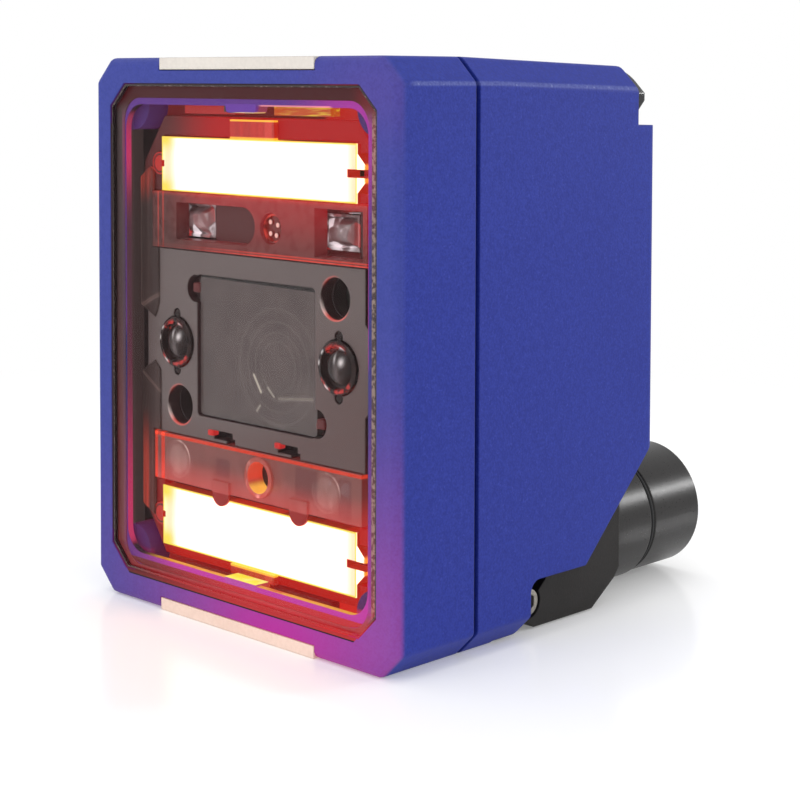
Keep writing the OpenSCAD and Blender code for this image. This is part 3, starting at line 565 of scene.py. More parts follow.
def makePlate():
    spot, x, d, z = startFinish("plate_grey")
    grain = spot.noise(3500.0, 3.0)
    cloud = spot.noise(120.0, 2.0)
    # painted red light of the bars: warmer towards the right and the lower bar
    warm = x.smooth(-6.0, 16.0) * z.fade(22.0, 36.0) + z.fade(18.5, 22.0) * 0.6
    face = d.fade(2.95, 3.15)
    lights = []
    # painted highlights: red rims and pale glints on the screw wells
    for midX, midZ in plate["wells"]:
        ring = between(reach(x, z, midX, midZ), plate["wellR"] - 0.1, plate["wellR"] + 0.16, 0.05)
        below = z.fade(midZ - 1.9, midZ - 0.9)
        above = z.smooth(midZ + 0.8, midZ + 1.8) * x.fade(midX - 0.2, midX + 0.8)
        leftLow = x.fade(midX - 1.7, midX - 1.0) * z.fade(midZ - 1.2, midZ + 0.2)
        lights += [(ring * (below + above * 0.5) * face, plate["rim"]),
                   (ring * leftLow * face, plate["glint"])]
    base = (grain * 0.6 + cloud * 0.4).mottle(plate)
    endFinish(spot, {
        "Base Color": d.smooth(2.8, 2.84).tint(warm.least(1.0).tint(base, plate["warm"]), plate["recess"]),
        **satin(grain, vary=0.16, rough=0.3, lift=0.12, depth=0.00005),
    }, lights)


makePlate()

# black chassis, its side rails painted brown and edged with orange by light of the bars; painted red light
# also on the forks, the bottom, the top and the pocket
chassis = {
    "dark": (0.030, 0.011, 0.012),
    "light": (0.042, 0.018, 0.018),
    "rail": (0.062, 0.036, 0.033),
    "orange": (0.46, 0.024, 0.010),
    "red": (0.36, 0.008, 0.005),
    "pocket": (0.065, 0.008, 0.008),
}


def makeChassis():
    spot, x, d, z = startFinish("chassis_black")
    grain = spot.noise(2500.0, 3.0)
    runs = spot.stretched(1.0, 1.0, 0.04).noise(2400.0, 2.0).smooth(0.42, 0.62)
    rail = between(x.size(), 16.85, 18.55, 0.02) * between(d, 2.8, 4.32, 0.02)
    nearLow = z.fade(16.0, 24.0)
    nearTop = z.smooth(42.5, 47.5)
    forks = x.smooth(8.5, 9.5) * (z.smooth(43.0, 44.5) + z.fade(12.5, 13.5))
    edge = (x.size() - 16.95).fade(0.1, 0.24)
    outerEdge = (x.size() - 18.45).smooth(-0.28, -0.12)
    base = grain.mottle(chassis)
    endFinish(spot, {
        "Base Color": rail.tint(base, chassis["rail"]),
        **satin(grain, vary=0.16, rough=0.42, lift=0.2, depth=0.00005, gloss=0.4),
    }, [
        (rail * nearLow * (runs * 0.9 + 0.4), chassis["orange"]),
        (rail * (edge + outerEdge) * (nearLow * 0.8 + 0.04), chassis["orange"]),
        (rail * nearTop * (outerEdge * 0.7 + 0.3), chassis["red"]),
        ((1.0 - rail) * forks, chassis["red"]),
        ((1.0 - rail) * z.fade(4.0, 8.0) * 0.8, chassis["red"]),
        ((1.0 - rail) * z.smooth(50.5, 53.0) * 0.35, chassis["red"]),
        ((1.0 - rail) * between(z, 38.5, 44.0, 0.3) * between(x, -9.0, 14.0, 1.0), chassis["pocket"]),
    ])


makeChassis()

# light trays round the bars: brown at the left, painted red light of the bars to the right and below
trays = {
    "dark": (0.098, 0.036, 0.036),
    "light": (0.120, 0.046, 0.045),
    "redDark": (0.085, 0.012, 0.012),
    "lowDark": (0.10, 0.008, 0.006),
    "red": (0.40, 0.004, 0.005),
    "lowRed": (0.45, 0.005, 0.003),
}


def makeTray():
    spot, x, d, z = startFinish("tray_dark")
    grain = spot.noise(2200.0, 3.0)
    upper = z.smooth(*halfway)
    right = x.smooth(-15.5, -5.0)
    lowBase = (1.0 - upper) * x.smooth(-18.5, -13.5)
    face = (upper * right).tint(grain.mottle(trays), trays["redDark"])
    endFinish(spot, {
        "Base Color": lowBase.tint(face, trays["lowDark"]),
        **satin(grain, vary=0.16, rough=0.34, lift=0.12, depth=0.00004, gloss=0.12),
    }, [
        (upper * (right * 0.94 + 0.06), trays["red"]),
        ((1.0 - upper) * (x.smooth(-18.0, -12.0) * 0.8 + 0.2), trays["lowRed"]),
    ])


makeTray()

# upper lens carrier: painted red light below the bar, brown at the left end, painted orange highlights along
# its edges
upperCarrier = {
    "dark": (0.092, 0.040, 0.037),
    "light": (0.112, 0.050, 0.047),
    "red": (0.30, 0.006, 0.010),
    "orange": (0.62, 0.028, 0.008),
    "span": (38.24, 44.24),
    "lines": (-15.5, -14.66),
}


def makeUpperCarrier():
    spot, x, d, z = startFinish("carrier_red")
    grain = spot.noise(900.0, 3.0)
    low, high = upperCarrier["span"]
    nearBar = z.smooth(low - 0.5, high)
    run = x.smooth(-15.0, -6.0)
    bottom = between(z, low + 0.05, low + 0.18, 0.04) + between(z, low + 0.3, low + 0.44, 0.04) * 0.8
    bottom = bottom * (x.smooth(-14.0, 4.0) * 0.9 + 0.1)
    upright = sum(between(x, line - 0.09, line + 0.09, 0.06) for line in upperCarrier["lines"])
    top = z.smooth(high - 0.5, high - 0.1)
    endFinish(spot, {
        "Base Color": grain.mottle(upperCarrier),
        **satin(grain, vary=0.12, rough=0.22, lift=0.06, depth=0.00005, gloss=0.12),
    }, [
        ((nearBar * 0.75 + 0.22) * (run * 0.92 + 0.08), upperCarrier["red"]),
        (bottom, upperCarrier["orange"]),
        (upright * (z.smooth(low, high) * 0.4 + 0.35), upperCarrier["orange"]),
        (top * 0.25, upperCarrier["orange"]),
    ])


makeUpperCarrier()

# lower lens carrier: milky clear with painted orange light on its edges, faint lens outlines with painted
# glints, dark red hooks over the lower bar with a painted pink glow
lowerCarrier = {
    "dark": (0.150, 0.068, 0.060),
    "light": (0.205, 0.098, 0.088),
    "hook": (0.10, 0.004, 0.003),
    "orange": (0.60, 0.038, 0.010),
    "pink": (0.33, 0.016, 0.014),
    "glint": (0.55, 0.40, 0.36),
    "yellow": (0.75, 0.45, 0.04),
    "left": -16.2,
    "span": (13.17, 18.26),
    "ring": (1.0, 15.72),
    "lenses": [(-12.2, 15.7), (10.9, 15.7)],
    "shades": [(-4.8, 15.8, 1.1, 0.95), (8.0, 16.1, 1.6, 1.5), (13.6, 15.4, 0.9, 2.0),
               (-15.0, 15.6, 0.5, 1.9)],
    "shade": (0.085, 0.040, 0.042),
    "solid": 0.86,
}


def makeLowerCarrier():
    spot, x, d, z = startFinish("carrier_clear")
    flow = spot.noise(420.0, 3.0)
    smear = spot.stretched(1.2, 1.0, 0.5).noise(700.0, 2.0)
    left = lowerCarrier["left"]
    low, high = lowerCarrier["span"]
    hook = z.fade(low - 0.02, low + 0.02)
    top = between(z, high - 0.42, high - 0.06, 0.07)
    leftEnd = between(x, left + 0.05, left + 0.5, 0.08) + between(x, left + 1.1, left + 1.7, 0.1)
    lines = top.most(leftEnd.least(1.0))
    fromRing = reach(x, z, *lowerCarrier["ring"])
    bore = fromRing.fade(1.62, 1.68) * (1.0 - hook)
    ring = between(fromRing, 1.68, 2.1, 0.05) * (1.0 - hook)
    lights = [
        (top, lowerCarrier["orange"]),
        (leftEnd.least(1.0) * (1.0 - hook) * 0.85, lowerCarrier["orange"]),
        (z.fade(low, low + 3.2) * (1.0 - hook), lowerCarrier["pink"]),
        ((1.0 - hook) * 0.2, lowerCarrier["pink"]),
        (bore * z.smooth(14.6, 15.6), lowerCarrier["orange"]),
        (bore * z.fade(14.4, 15.2), lowerCarrier["yellow"]),
        (ring * smear.smooth(0.5, 0.7) * 0.7, lowerCarrier["glint"]),
        (ring * 0.35, lowerCarrier["orange"]),
        (hook * 0.7, lowerCarrier["pink"]),
    ]
    shades = sum(between(x, midX - halfX, midX + halfX, 0.15) * between(z, midZ - halfZ, midZ + halfZ, 0.15)
                 for midX, midZ, halfX, halfZ in lowerCarrier["shades"])
    for midX, midZ in lowerCarrier["lenses"]:
        fromLens = reach(x, z, midX, midZ)
        middle = fromLens.fade(1.2, 2.0) * (smear * 0.3 + 0.05)
        lit = z.smooth(midZ - 0.5, midZ + 1.6) * x.smooth(midX - 0.6, midX + 0.8)
        outline = between(fromLens, 1.85, 2.05, 0.08) * (lit * 0.8 + 0.12) * smear.smooth(0.3, 0.6)
        lights.append(((middle + outline) * (1.0 - hook), lowerCarrier["glint"]))
    milk = (flow * 0.5 + smear * 0.5).smooth(0.32, 0.68).tint(lowerCarrier["dark"], lowerCarrier["light"])
    base = (shades * 0.6).tint(milk, lowerCarrier["shade"])
    endFinish(spot, {
        "Base Color": hook.most(lines).tint(base, lowerCarrier["hook"]),
        "Roughness": flow * 0.1 + 0.12,
        "Specular IOR Level": 0.2,
        "Alpha": hook.most(flow * 0.1 + lowerCarrier["solid"]),
        "Normal": flow.bump(0.08, 0.00006),
    }, lights)


makeLowerCarrier()

# lit diffuser bars: white hot, a thin yellow rim, yellow corners at the left; the red glass tabs, flanks,
# prongs and clip get painted light of the bars
bars = {
    "upper": (47.24, 2.9),
    "lower": (9.27, 3.2),
    "halfWide": 15.0,
    "white": (4.2, 1.7, 1.35),
    "cream": (1.3, 1.25, 0.78),
    "yellow": (0.95, 0.74, 0.05),
    "flank": (0.40, 0.015, 0.004),
    "rim": (1.0, 0.72, 0.03),
    "prong": (2.6, 1.9, 1.3),
    "tip": (0.95, 0.33, 0.02),
    "clip": (0.42, 0.012, 0.006),
    "tab": (0.50, 0.012, 0.004),
    "tabEdge": (0.85, 0.55, 0.03),
    "glass": (0.25, 0.05, 0.04),
    "body": (0.10, 0.006, 0.005),
    "litBody": (0.16, 0.13, 0.05),
}


def makeBars():
    spot, x, d, z = startFinish("diffuser_lit")
    cloud = spot.noise(260.0, 2.0)
    runs = spot.stretched(1.0, 1.0, 0.1).noise(1400.0, 2.0)
    upper = z.smooth(*halfway)
    mid = upper * (bars["upper"][0] - bars["lower"][0]) + bars["lower"][0]
    half = upper * (bars["upper"][1] - bars["lower"][1]) + bars["lower"][1]
    fromMid = (z - mid).size()
    inside = (bars["halfWide"] - x.size()).least(half - fromMid)
    outside = inside.fade(-0.03, 0.03)
    core = inside.smooth(0.06, 0.26)
    cornerGlow = (glowSpot(x + cloud * 0.8, fromMid, -14.1, 2.7, 0.9, 0.8) * 1.1).least(1.0)
    endGlow = (x + cloud * 0.8).fade(-14.8, -11.8) * 0.85 + x.smooth(13.2, 15.2) * 0.6
    slot = fromMid.fade(0.38, 0.44) * x.smooth(13.6, 13.75)
    flank = d.smooth(2.82, 2.9).most(slot)
    lit = (1.0 - outside) * (1.0 - flank)
    tabs = outside * (x.size() - 4.0).fade(0.0, 0.1)
    prongs = outside * x.smooth(14.8, 15.0) * (1.0 - slot)
    clip = outside * x.fade(-15.0, -14.8)
    fromClip = reach(x, fromMid, -15.4, 0.0)
    tabTop = upper * (z - 51.9).smooth(0.0, 0.12)
    tabFoot = (fromMid - half).fade(0.12, 0.3)
    lights = [
        (lit * core * (1.0 - cornerGlow) * (1.0 - endGlow) ** 3.0, bars["white"]),
        (lit * core * (1.0 - cornerGlow) * endGlow, bars["cream"]),
        (lit * core * cornerGlow, bars["yellow"]),
        (lit * (1.0 - core), bars["rim"]),
        (flank * (1.0 - outside * x.fade(13.0, 13.4)), bars["flank"]),
        (prongs * x.fade(15.9, 16.2) * d.fade(2.82, 2.9), bars["prong"]),
        (prongs * x.smooth(15.8, 16.2), bars["tip"]),
        (clip * (1.0 - between(fromClip, 0.85, 1.05, 0.06)), bars["clip"]),
        (tabs * (runs * 0.9 + 0.45), bars["tab"]),
        (tabs * tabFoot * upper.most((z - mid).fade(0.0, 0.1)), bars["tabEdge"]),
        (tabs * tabTop, bars["tabEdge"]),
        (tabs * x.smooth(1.8, 2.2) * x.fade(3.0, 3.2) * 0.6, bars["glass"]),
    ]
    endFinish(spot, {
        "Base Color": lit.tint(bars["body"], bars["litBody"]),
        "Roughness": cloud * 0.1 + 0.3,
    }, lights)


makeBars()

for part in frame["record"]["subparts"]:
    mesh = nodes[part["node"]].data
    mesh.materials.clear()
    mesh.materials.append(finishes[part["material_slot"]])
print("finishes set:", len(finishes))


# tools for the pieces that are modelled here

def facingFront(midX, frontDepth, midZ):
    # flat shapes lie in X and Y, this turns them to face the front
    turned = Matrix.Rotation(math.radians(90), 4, "X")
    return Matrix.Translation((midX, frontY + frontDepth * mm, midZ)) @ turned


def midOf(node):
    low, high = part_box(node)
    return (low.x + high.x) / 2, (low.z + high.z) / 2


def pull(bm, faces, depth):
    # thickens flat faces towards the front, the new points and faces are returned
    grown = bmesh.ops.extrude_face_region(bm, geom=faces, use_keep_orig=True)["geom"]
    verts = [g for g in grown if isinstance(g, bmesh.types.BMVert)]
    bmesh.ops.translate(bm, verts=verts, vec=(0, depth * mm, 0))
    return verts, [g for g in grown if isinstance(g, bmesh.types.BMFace)]


def disc(bm, midX, midZ, radius, frontDepth, backDepth, segments):
    # short round post that ends in one open face at the front, the face is returned
    made = bmesh.ops.create_circle(bm, cap_ends=True, radius=radius, segments=segments,
                                   matrix=facingFront(midX, backDepth, midZ))
    base = made["verts"][0].link_faces[0]
    return pull(bm, [base], frontDepth - backDepth)[1][0]


def stepIn(bm, face, steps):
    # rings towards the middle of a face, each (width, rise) in mm
    for width, rise in steps:
        bmesh.ops.inset_region(bm, faces=[face], thickness=width * mm, use_even_offset=True)
        bmesh.ops.translate(bm, verts=face.verts, vec=(0, -rise * mm, 0))


def roundEdges(bm, edges, width, segments):
    bmesh.ops.bevel(bm, geom=edges, offset=width * mm, offset_type="OFFSET", affect="EDGES",
                    segments=segments, profile=0.5, material=-1)


def block(bm, low, high, bevel):
    # box between two corners (x, depth, z) in mm with rounded edges, its front face is returned
    size = [(b - a) * mm for a, b in zip(low, high)]
    middle = [(a + b) / 2 * mm for a, b in zip(low, high)]
    made = bmesh.ops.create_cube(bm, size=1.0, matrix=Matrix.Translation(
        (middle[0], frontY + middle[1], middle[2])) @ Matrix.Diagonal((*size, 1.0)))
    front = min({f for v in made["verts"] for f in v.link_faces}, key=lambda f: f.calc_center_median().y)
    if bevel:
        edges = {e for v in made["verts"] for e in v.link_edges}
        roundEdges(bm, list(edges), bevel, 2)
    return front


def finishPiece(name, bm, finish, replaced=None):
    bmesh.ops.remove_doubles(bm, verts=bm.verts, dist=1e-7)
    bmesh.ops.recalc_face_normals(bm, faces=bm.faces)
    mesh = bpy.data.meshes.new(name)
    bm.to_mesh(mesh)
    bm.free()
    mesh.shade_smooth()
    mesh.set_sharp_from_angle(angle=math.radians(32))
    mesh.materials.append(finishes[finish])
    piece = bpy.data.objects.new(name, mesh)
    bpy.context.scene.collection.objects.link(piece)
    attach(piece, "reader_body")
    if replaced:
        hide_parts(replaced)


# painted rim along the lip's opening, coloured by painted light of the bars beside it; its walls get a
# painted shadow colour
rim = {
    "half": (18.66, 24.225),
    "midZ": 29.325,
    "corner": 2.6,
    "wide": 1.15,
    "front": 0.72,
    "back": 1.45,
    "coat": (0.022, 0.030, 0.20),
    "shadow": (0.040, 0.020, 0.030),
    "tape": (0.06, 0.018, 0.018),
    "tapeRed": (0.56, 0.012, 0.022),
    "tapeEdge": 4.57,
    "top": (0.095, 0.006, 0.07),
    "topRight": (0.30, 0.0, 0.10),
    "low": (0.56, 0.012, 0.20),
    "topEdge": (0.72, 0.24, 0.10),
    "crimson": (0.46, 0.0, 0.075),
    "dim": (0.060, 0.020, 0.032),
    "yellow": (0.74, 0.34, 0.012),
    "flame": (0.55, 0.05, 0.004),
}


def makeRimFinish():
    spot, x, d, z = startFinish("rim_paint")
    grain = spot.noise(paint["grain"], 2.0)
    runs = spot.stretched(0.25, 1.0, 1.0).noise(900.0, 2.0)
    wall = d.smooth(rim["front"] + 0.03, rim["front"] + 0.06)
    face = 1.0 - wall
    top = z.smooth(*halfway)
    taped = face * z.fade(rim["tapeEdge"] - 0.04, rim["tapeEdge"] + 0.04)
    bare = face - taped
    lowWall = wall * z.fade(5.3, 5.7) * x.smooth(-16.5, -12.0)
    leftWall = wall * x.fade(-18.4, -17.6)
    fromLeft = x.smooth(-19.0, -8.0) * 0.8 + 0.2
    endFinish(spot, {
        "Base Color": taped.tint(wall.tint(rim["coat"], rim["shadow"]), rim["tape"]),
        **satin(grain, vary=0.2, rough=0.38, lift=0.3, depth=0.00004, gloss=0.2),
    }, [
        (taped * (x.smooth(-18.0, 2.0) * 0.8 + 0.2), rim["tapeRed"]),
        (bare * top, rim["top"]),
        (bare * top * x.smooth(6.0, 17.0), rim["topRight"]),
        (bare * between(z, 53.4, 53.7, 0.04) * between(x, 3.2, 13.5, 0.4), rim["topEdge"]),
        (bare * (1.0 - top) * fromLeft * z.fade(8.0, 18.0), rim["low"]),
        (leftWall * glowSpot(x, z, -18.7, 48.5, 6.0, 3.0), rim["crimson"]),
        (leftWall * glowSpot(x, z, -18.7, 8.5, 6.0, 8.0), rim["crimson"]),
        (leftWall, rim["dim"]),
        (lowWall * runs.smooth(0.3, 0.55), rim["yellow"]),
        (lowWall * runs.fade(0.3, 0.55), rim["flame"]),
    ])


def makeRim():
    bm = bmesh.new()
    halfX, halfZ = ((v + rim["wide"]) * mm for v in rim["half"])
    made = bmesh.ops.create_grid(bm, x_segments=1, y_segments=1, size=1.0, matrix=facingFront(
        0.0, rim["back"], rim["midZ"] * mm) @ Matrix.Diagonal((halfX, halfZ, 1.0, 1.0)))
    bmesh.ops.bevel(bm, geom=made["verts"], offset=(rim["corner"] + rim["wide"]) * mm, offset_type="OFFSET",
                    affect="VERTICES", segments=10, profile=0.5, material=-1)
    opening = bm.faces[:]
    bmesh.ops.inset_region(bm, faces=opening, thickness=rim["wide"] * mm, use_even_offset=True,
                           use_boundary=True)
    bmesh.ops.delete(bm, geom=opening, context="FACES")
    pull(bm, bm.faces[:], rim["front"] - rim["back"])
    finishPiece("lip_rim", bm, "rim_paint")


makeRimFinish()
makeRim()

# tongue at the middle of the lower rim, with painted yellow light of the lower bar on it
tongue = {"low": (-2.25, 0.70, 4.62), "high": (2.5, 3.1, 5.28), "cut": 0.75, "magenta": (0.48, 0.015, 0.20),
          "yellow": (0.86, 0.74, 0.03), "pale": (0.90, 0.84, 0.20), "coat": (0.12, 0.10, 0.02)}


def makeTongue():
    spot, x, d, z = startFinish("tongue_lit")
    flow = spot.noise(800.0, 2.0)
    upper = z.smooth(tongue["high"][2] - 0.06, tongue["high"][2] - 0.02)
    endFinish(spot, {
        "Base Color": upper.tint(rim["coat"], tongue["coat"]),
        "Roughness": flow * 0.1 + 0.25,
    }, [
        ((1.0 - upper) * d.fade(1.0, 1.6), tongue["magenta"]),
        ((1.0 - upper) * d.smooth(1.0, 1.6), rim["flame"]),
        (upper * flow.fade(0.45, 0.6), tongue["yellow"]),
        (upper * flow.smooth(0.45, 0.6), tongue["pale"]),
    ])
    bm = bmesh.new()
    block(bm, tongue["low"], tongue["high"], 0)
    rear = [e for e in bm.edges if all(v.co.y > frontY + 3.0 * mm for v in e.verts) and
            abs(e.verts[0].co.z - e.verts[1].co.z) > 0.1 * mm]
    roundEdges(bm, rear, tongue["cut"], 4)
    finishPiece("lip_tongue", bm, "tongue_lit")


makeTongue()

# short tongue under the middle of the upper rim, with painted violet light on its front and a painted
# highlight on its lower edge
upperTongue = {"low": (-2.0, 0.70, 52.85), "high": (2.6, 2.3, 53.75), "cut": 0.5,
               "violet": (0.13, 0.012, 0.16), "edge": (0.80, 0.50, 0.05)}


def makeUpperTongue():
    spot, x, d, z = startFinish("tongue_violet")
    grain = spot.noise(paint["grain"], 2.0)
    foot = z.fade(upperTongue["low"][2] + 0.06, upperTongue["low"][2] + 0.12)
    endFinish(spot, {
        "Base Color": grain.tint(rim["coat"], paint["frontDark"]),
        "Roughness": grain * 0.2 + 0.4,
        "Specular IOR Level": 0.2,
    }, [
        ((1.0 - foot) * d.fade(0.9, 1.3), upperTongue["violet"]),
        (foot * x.smooth(-1.5, 0.5), upperTongue["edge"]),
        ((1.0 - foot) * d.smooth(0.9, 1.3) * 0.5, rim["flame"]),
    ])
    bm = bmesh.new()
    block(bm, upperTongue["low"], upperTongue["high"], 0)
    corners = [e for e in bm.edges if all(v.co.z < upperTongue["low"][2] * mm + 1e-6 for v in e.verts) and
               abs(e.verts[0].co.y - e.verts[1].co.y) > 0.1 * mm]
    roundEdges(bm, corners, upperTongue["cut"], 3)
    finishPiece("upper_lip_tongue", bm, "tongue_violet")


makeUpperTongue()

# strips in front of the left rails: outlines in X and Z, brown, with painted light of the bars at the ends
# and painted glints on their edges
strips = {
    "upper": [(-18.5, 31.75), (-16.1, 30.6), (-15.45, 32.2), (-15.45, 38.2), (-16.45, 38.2), (-16.45, 46.4),
              (-17.0, 46.8), (-18.5, 45.7)],
    "lower": [(-18.3, 24.6), (-16.2, 25.9), (-15.25, 25.0), (-15.25, 18.45), (-16.35, 18.45), (-16.35, 9.0),
              (-18.3, 10.0)],
    "depth": (2.5, 2.95),
    "bevel": 0.12,
    "dark": (0.050, 0.029, 0.027),
    "light": (0.068, 0.041, 0.038),
    "glint": (0.13, 0.085, 0.075),
    "orange": (0.50, 0.030, 0.008),
}


def makeStripFinish():
    spot, x, d, z = startFinish("strip_brown")
    grain = spot.noise(2500.0, 2.0)
    runs = spot.stretched(1.0, 1.0, 0.04).noise(1500.0, 2.0).smooth(0.42, 0.62)
    nearLow = z.fade(15.0, 21.0)
    nearTop = z.smooth(42.5, 46.0)
    edge = between(x, -18.6, -18.3, 0.05)
    middle = between(x, -18.1, -17.2, 0.25)
    slants = between(z - x * 0.48, 40.2, 40.75, 0.06) + between(z + x * 0.62, 13.0, 13.4, 0.06)
    endFinish(spot, {
        "Base Color": (grain * 0.5 + runs * 0.5).smooth(0.25, 0.75).tint(strips["dark"], strips["light"]),
        **satin(grain, vary=0.16, rough=0.36, lift=0.15, depth=0.00004, gloss=0.2),
    }, [
        (nearLow * (runs * 0.4 + 0.5) * (middle * 0.85 + 0.15), strips["orange"]),
        (nearTop * (runs * 0.5 + 0.25), strips["orange"]),
        (edge * 0.4 + slants.least(1.0) * 0.5, strips["glint"]),
    ])


def makeStrips():
    bm = bmesh.new()
    front, back = strips["depth"]
    for outline in (strips["upper"], strips["lower"]):
        verts = [bm.verts.new((x * mm, frontY + back * mm, z * mm)) for x, z in outline]
        moved = pull(bm, [bm.faces.new(verts)], front - back)[0]
        rimEdges = [e for e in bm.edges if all(v in moved for v in e.verts)]
        roundEdges(bm, rimEdges, strips["bevel"], 2)
    finishPiece("left_rail_strips", bm, "strip_brown")


makeStripFinish()
makeStrips()

# cut-glass look of the small optics: cells of light and dark as painted reflections, with painted white and
# red glints
glass = {
    "dark": (0.20, 0.105, 0.108),
    "light": (0.52, 0.41, 0.42),
    "red": (0.46, 0.016, 0.012),
    "white": (0.80, 0.72, 0.76),
    "cell": 620.0,
    "mids": [(10.9, 41.24), (10.9, 15.72)],
}


def makeGlass():
    spot, x, d, z = startFinish("flood_glass")
    soft = spot.noise(1200.0, 2.0)
    cells = spot.make("ShaderNodeTexVoronoi", {"feature": "SMOOTH_F1"}, {
        "Vector": spot, "Scale": glass["cell"], "Smoothness": 0.35}).other("Color")
    parts = spot.make("ShaderNodeSeparateColor", {}, {"Color": cells})
    light = (parts.other("Red") * 0.7 + soft * 0.3).smooth(0.28, 0.72)
    hue = parts.other("Green").smooth(0.6, 0.85)
    outer = nearest(x.size(), z, glass["mids"]).smooth(1.7, 2.6)
    endFinish(spot, {
        "Base Color": (light * (1.0 - outer * 0.7)).tint(glass["dark"], glass["light"]),
        "Roughness": soft * 0.1 + 0.03,
        "IOR": 1.49,
        "Coat Weight": 0.6,
    }, [
        ((outer * 0.8 + 0.2) * hue * (soft * 0.8 + 0.4), glass["red"]),
        (light.smooth(0.55, 0.95) * (1.0 - outer * 0.8) * (1.0 - hue) * 0.75, glass["white"]),
    ])


makeGlass()

# dark aimer glass: painted highlights as arcs of white and red light on its rings, each radius, width, from,
# to and strength,
# angles in degrees
aimerGlass = {
    "dark": (0.012, 0.005, 0.005),
    "light": (0.030, 0.015, 0.014),
    "red": (0.62, 0.035, 0.030),
    "white": (0.85, 0.78, 0.78),
    "grey": (0.19, 0.16, 0.16),
    "midX": 12.5,
    "midZ": 28.25,
    "redArcs": [(2.1, 0.17, 55, 140, 0.8), (2.35, 0.15, -95, -35, 0.9), (2.45, 0.12, -150, -112, 0.7)],
    "whiteArcs": [(1.95, 0.10, 68, 92, 0.9), (2.5, 0.09, 168, 179, 1.0), (2.45, 0.09, 140, 150, 0.8),
                  (2.5, 0.10, -132, -118, 0.9)],
    "spots": [(0.75, 0.62, 0.20, 0.26, 0.9), (0.15, -0.35, 0.26, 0.75, 0.55), (-0.1, 0.9, 0.10, 0.32, 0.5)],
}


def arc(u, w, radius, wide, start, end):
    far = (u * u + w * w) ** 0.5
    turn = u.math("ARCTAN2", w, u) * (180.0 / math.pi)
    band = (far - radius) / wide
    return (band * band * -0.5).exp() * between(turn, start, end, 5.0)


def makeAimerGlass():
    spot, x, d, z = startFinish("aimer_glass")
    flow = spot.noise(1100.0, 2.0)
    broken = spot.noise(2100.0, 1.0).smooth(0.38, 0.56)
    u = x - (x.smooth(-0.1, 0.1) * 2.0 - 1.0) * aimerGlass["midX"]
    w = z - aimerGlass["midZ"]
    lights = [(arc(u, w, *a[:4]) * broken * a[4], aimerGlass["red"]) for a in aimerGlass["redArcs"]]
    lights += [(arc(u, w, *a[:4]) * a[4], aimerGlass["white"]) for a in aimerGlass["whiteArcs"]]
    # painted highlights: white spots and a grey reflection on the dome
    for index, (dx, dz, wide, tall, strength) in enumerate(aimerGlass["spots"]):
        tone = aimerGlass["grey"] if index == 1 else aimerGlass["white"]
        lights.append((glowSpot(u, w, dx, dz, wide, tall) * strength, tone))
    endFinish(spot, {
        "Base Color": flow.mottle(aimerGlass),
        "Roughness": flow * 0.08 + 0.03,
        "Specular IOR Level": 0.2,
    }, lights)


makeAimerGlass()

# aimer lenses: raised rim, groove and dome, with a lug above and below
aimer = {"radius": 2.66, "rimDepth": 2.5, "back": 4.3, "lug": 0.48, "lugOut": 3.0, "segments": 64,
         "steps": [(0.22, 0.12), (0.25, 0.0), (0.18, -0.55), (0.18, 0.0), (0.35, 0.42), (0.45, 0.22),
                   (0.5, 0.1)], "lugDepth": 2.85, "lugStep": (0.12, 0.08), "lugSegments": 24}


def makeAimer(node):
    midX, midZ = midOf(node)
    bm = bmesh.new()
    face = disc(bm, midX, midZ, aimer["radius"] * mm, aimer["rimDepth"], aimer["back"], aimer["segments"])
    stepIn(bm, face, aimer["steps"])
    for way in (-1, 1):
        lug = disc(bm, midX, midZ + way * aimer["lugOut"] * mm, aimer["lug"] * mm, aimer["lugDepth"],
                   aimer["back"], aimer["lugSegments"])
        stepIn(bm, lug, [aimer["lugStep"]])
    finishPiece(node + "_dressed", bm, "aimer_glass", node)


for node in ("left_aimer_lens", "right_aimer_lens"):
    makeAimer(node)

# flood lenses: a moulded block with a stepped dome, and a thin flange towards the middle
flood = {"reach": 10.9, "half": 2.45, "front": 4.75, "back": 8.9, "flange": 1.6, "bevel": 0.18,
         "flangeDepth": (5.0, 6.2), "inset": 0.1,
         "steps": [(0.25, 0.0), (0.15, -0.25), (0.25, 0.35), (0.35, 0.35), (0.4, 0.15)]}


def makeFlood(node):
    low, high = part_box(node)
    lowZ, highZ = low.z / mm, high.z / mm
    bm = bmesh.new()
    for way in (-1, 1):
        midX = way * flood["reach"]
        inner = midX - way * flood["half"]
        face = block(bm, (midX - flood["half"], flood["front"], lowZ),
                     (midX + flood["half"], flood["back"], highZ), 0)
        stepIn(bm, face, flood["steps"])
        ends = sorted((inner, inner - way * flood["flange"]))
        front, back = flood["flangeDepth"]
        block(bm, (ends[0], front, lowZ + flood["inset"]), (ends[1], back, highZ - flood["inset"]),
              flood["bevel"])
    finishPiece(node + "_dressed", bm, "flood_glass", node)


for node in ("upper_flood_lenses", "lower_flood_lenses"):
    makeFlood(node)

# round range sensor: red disc with a rim and four small pale domes, with painted red light on the disc and
# painted highlights on the domes and the rim
sensor = {"radius": 1.48, "front": 2.95, "back": 8.9, "steps": [(0.14, 0.0), (0.12, -0.35), (0.3, 0.0)],
          "domes": [(-0.62, 0.62), (0.48, 0.36), (-0.60, -0.55), (0.28, -0.70)], "domeR": 0.32,
          "segments": 48, "domeSegments": 20,
          "domeDepth": (3.2, 3.5), "domeSteps": [(0.07, 0.08), (0.1, 0.05)], "mid": (2.7, 41.24),
          "dark": (0.06, 0.008, 0.007), "light": (0.11, 0.018, 0.015), "pale": (0.6, 0.38, 0.34),
          "red": (0.24, 0.006, 0.005), "domeGlow": (0.38, 0.20, 0.17), "rimGlow": (0.40, 0.03, 0.02)}


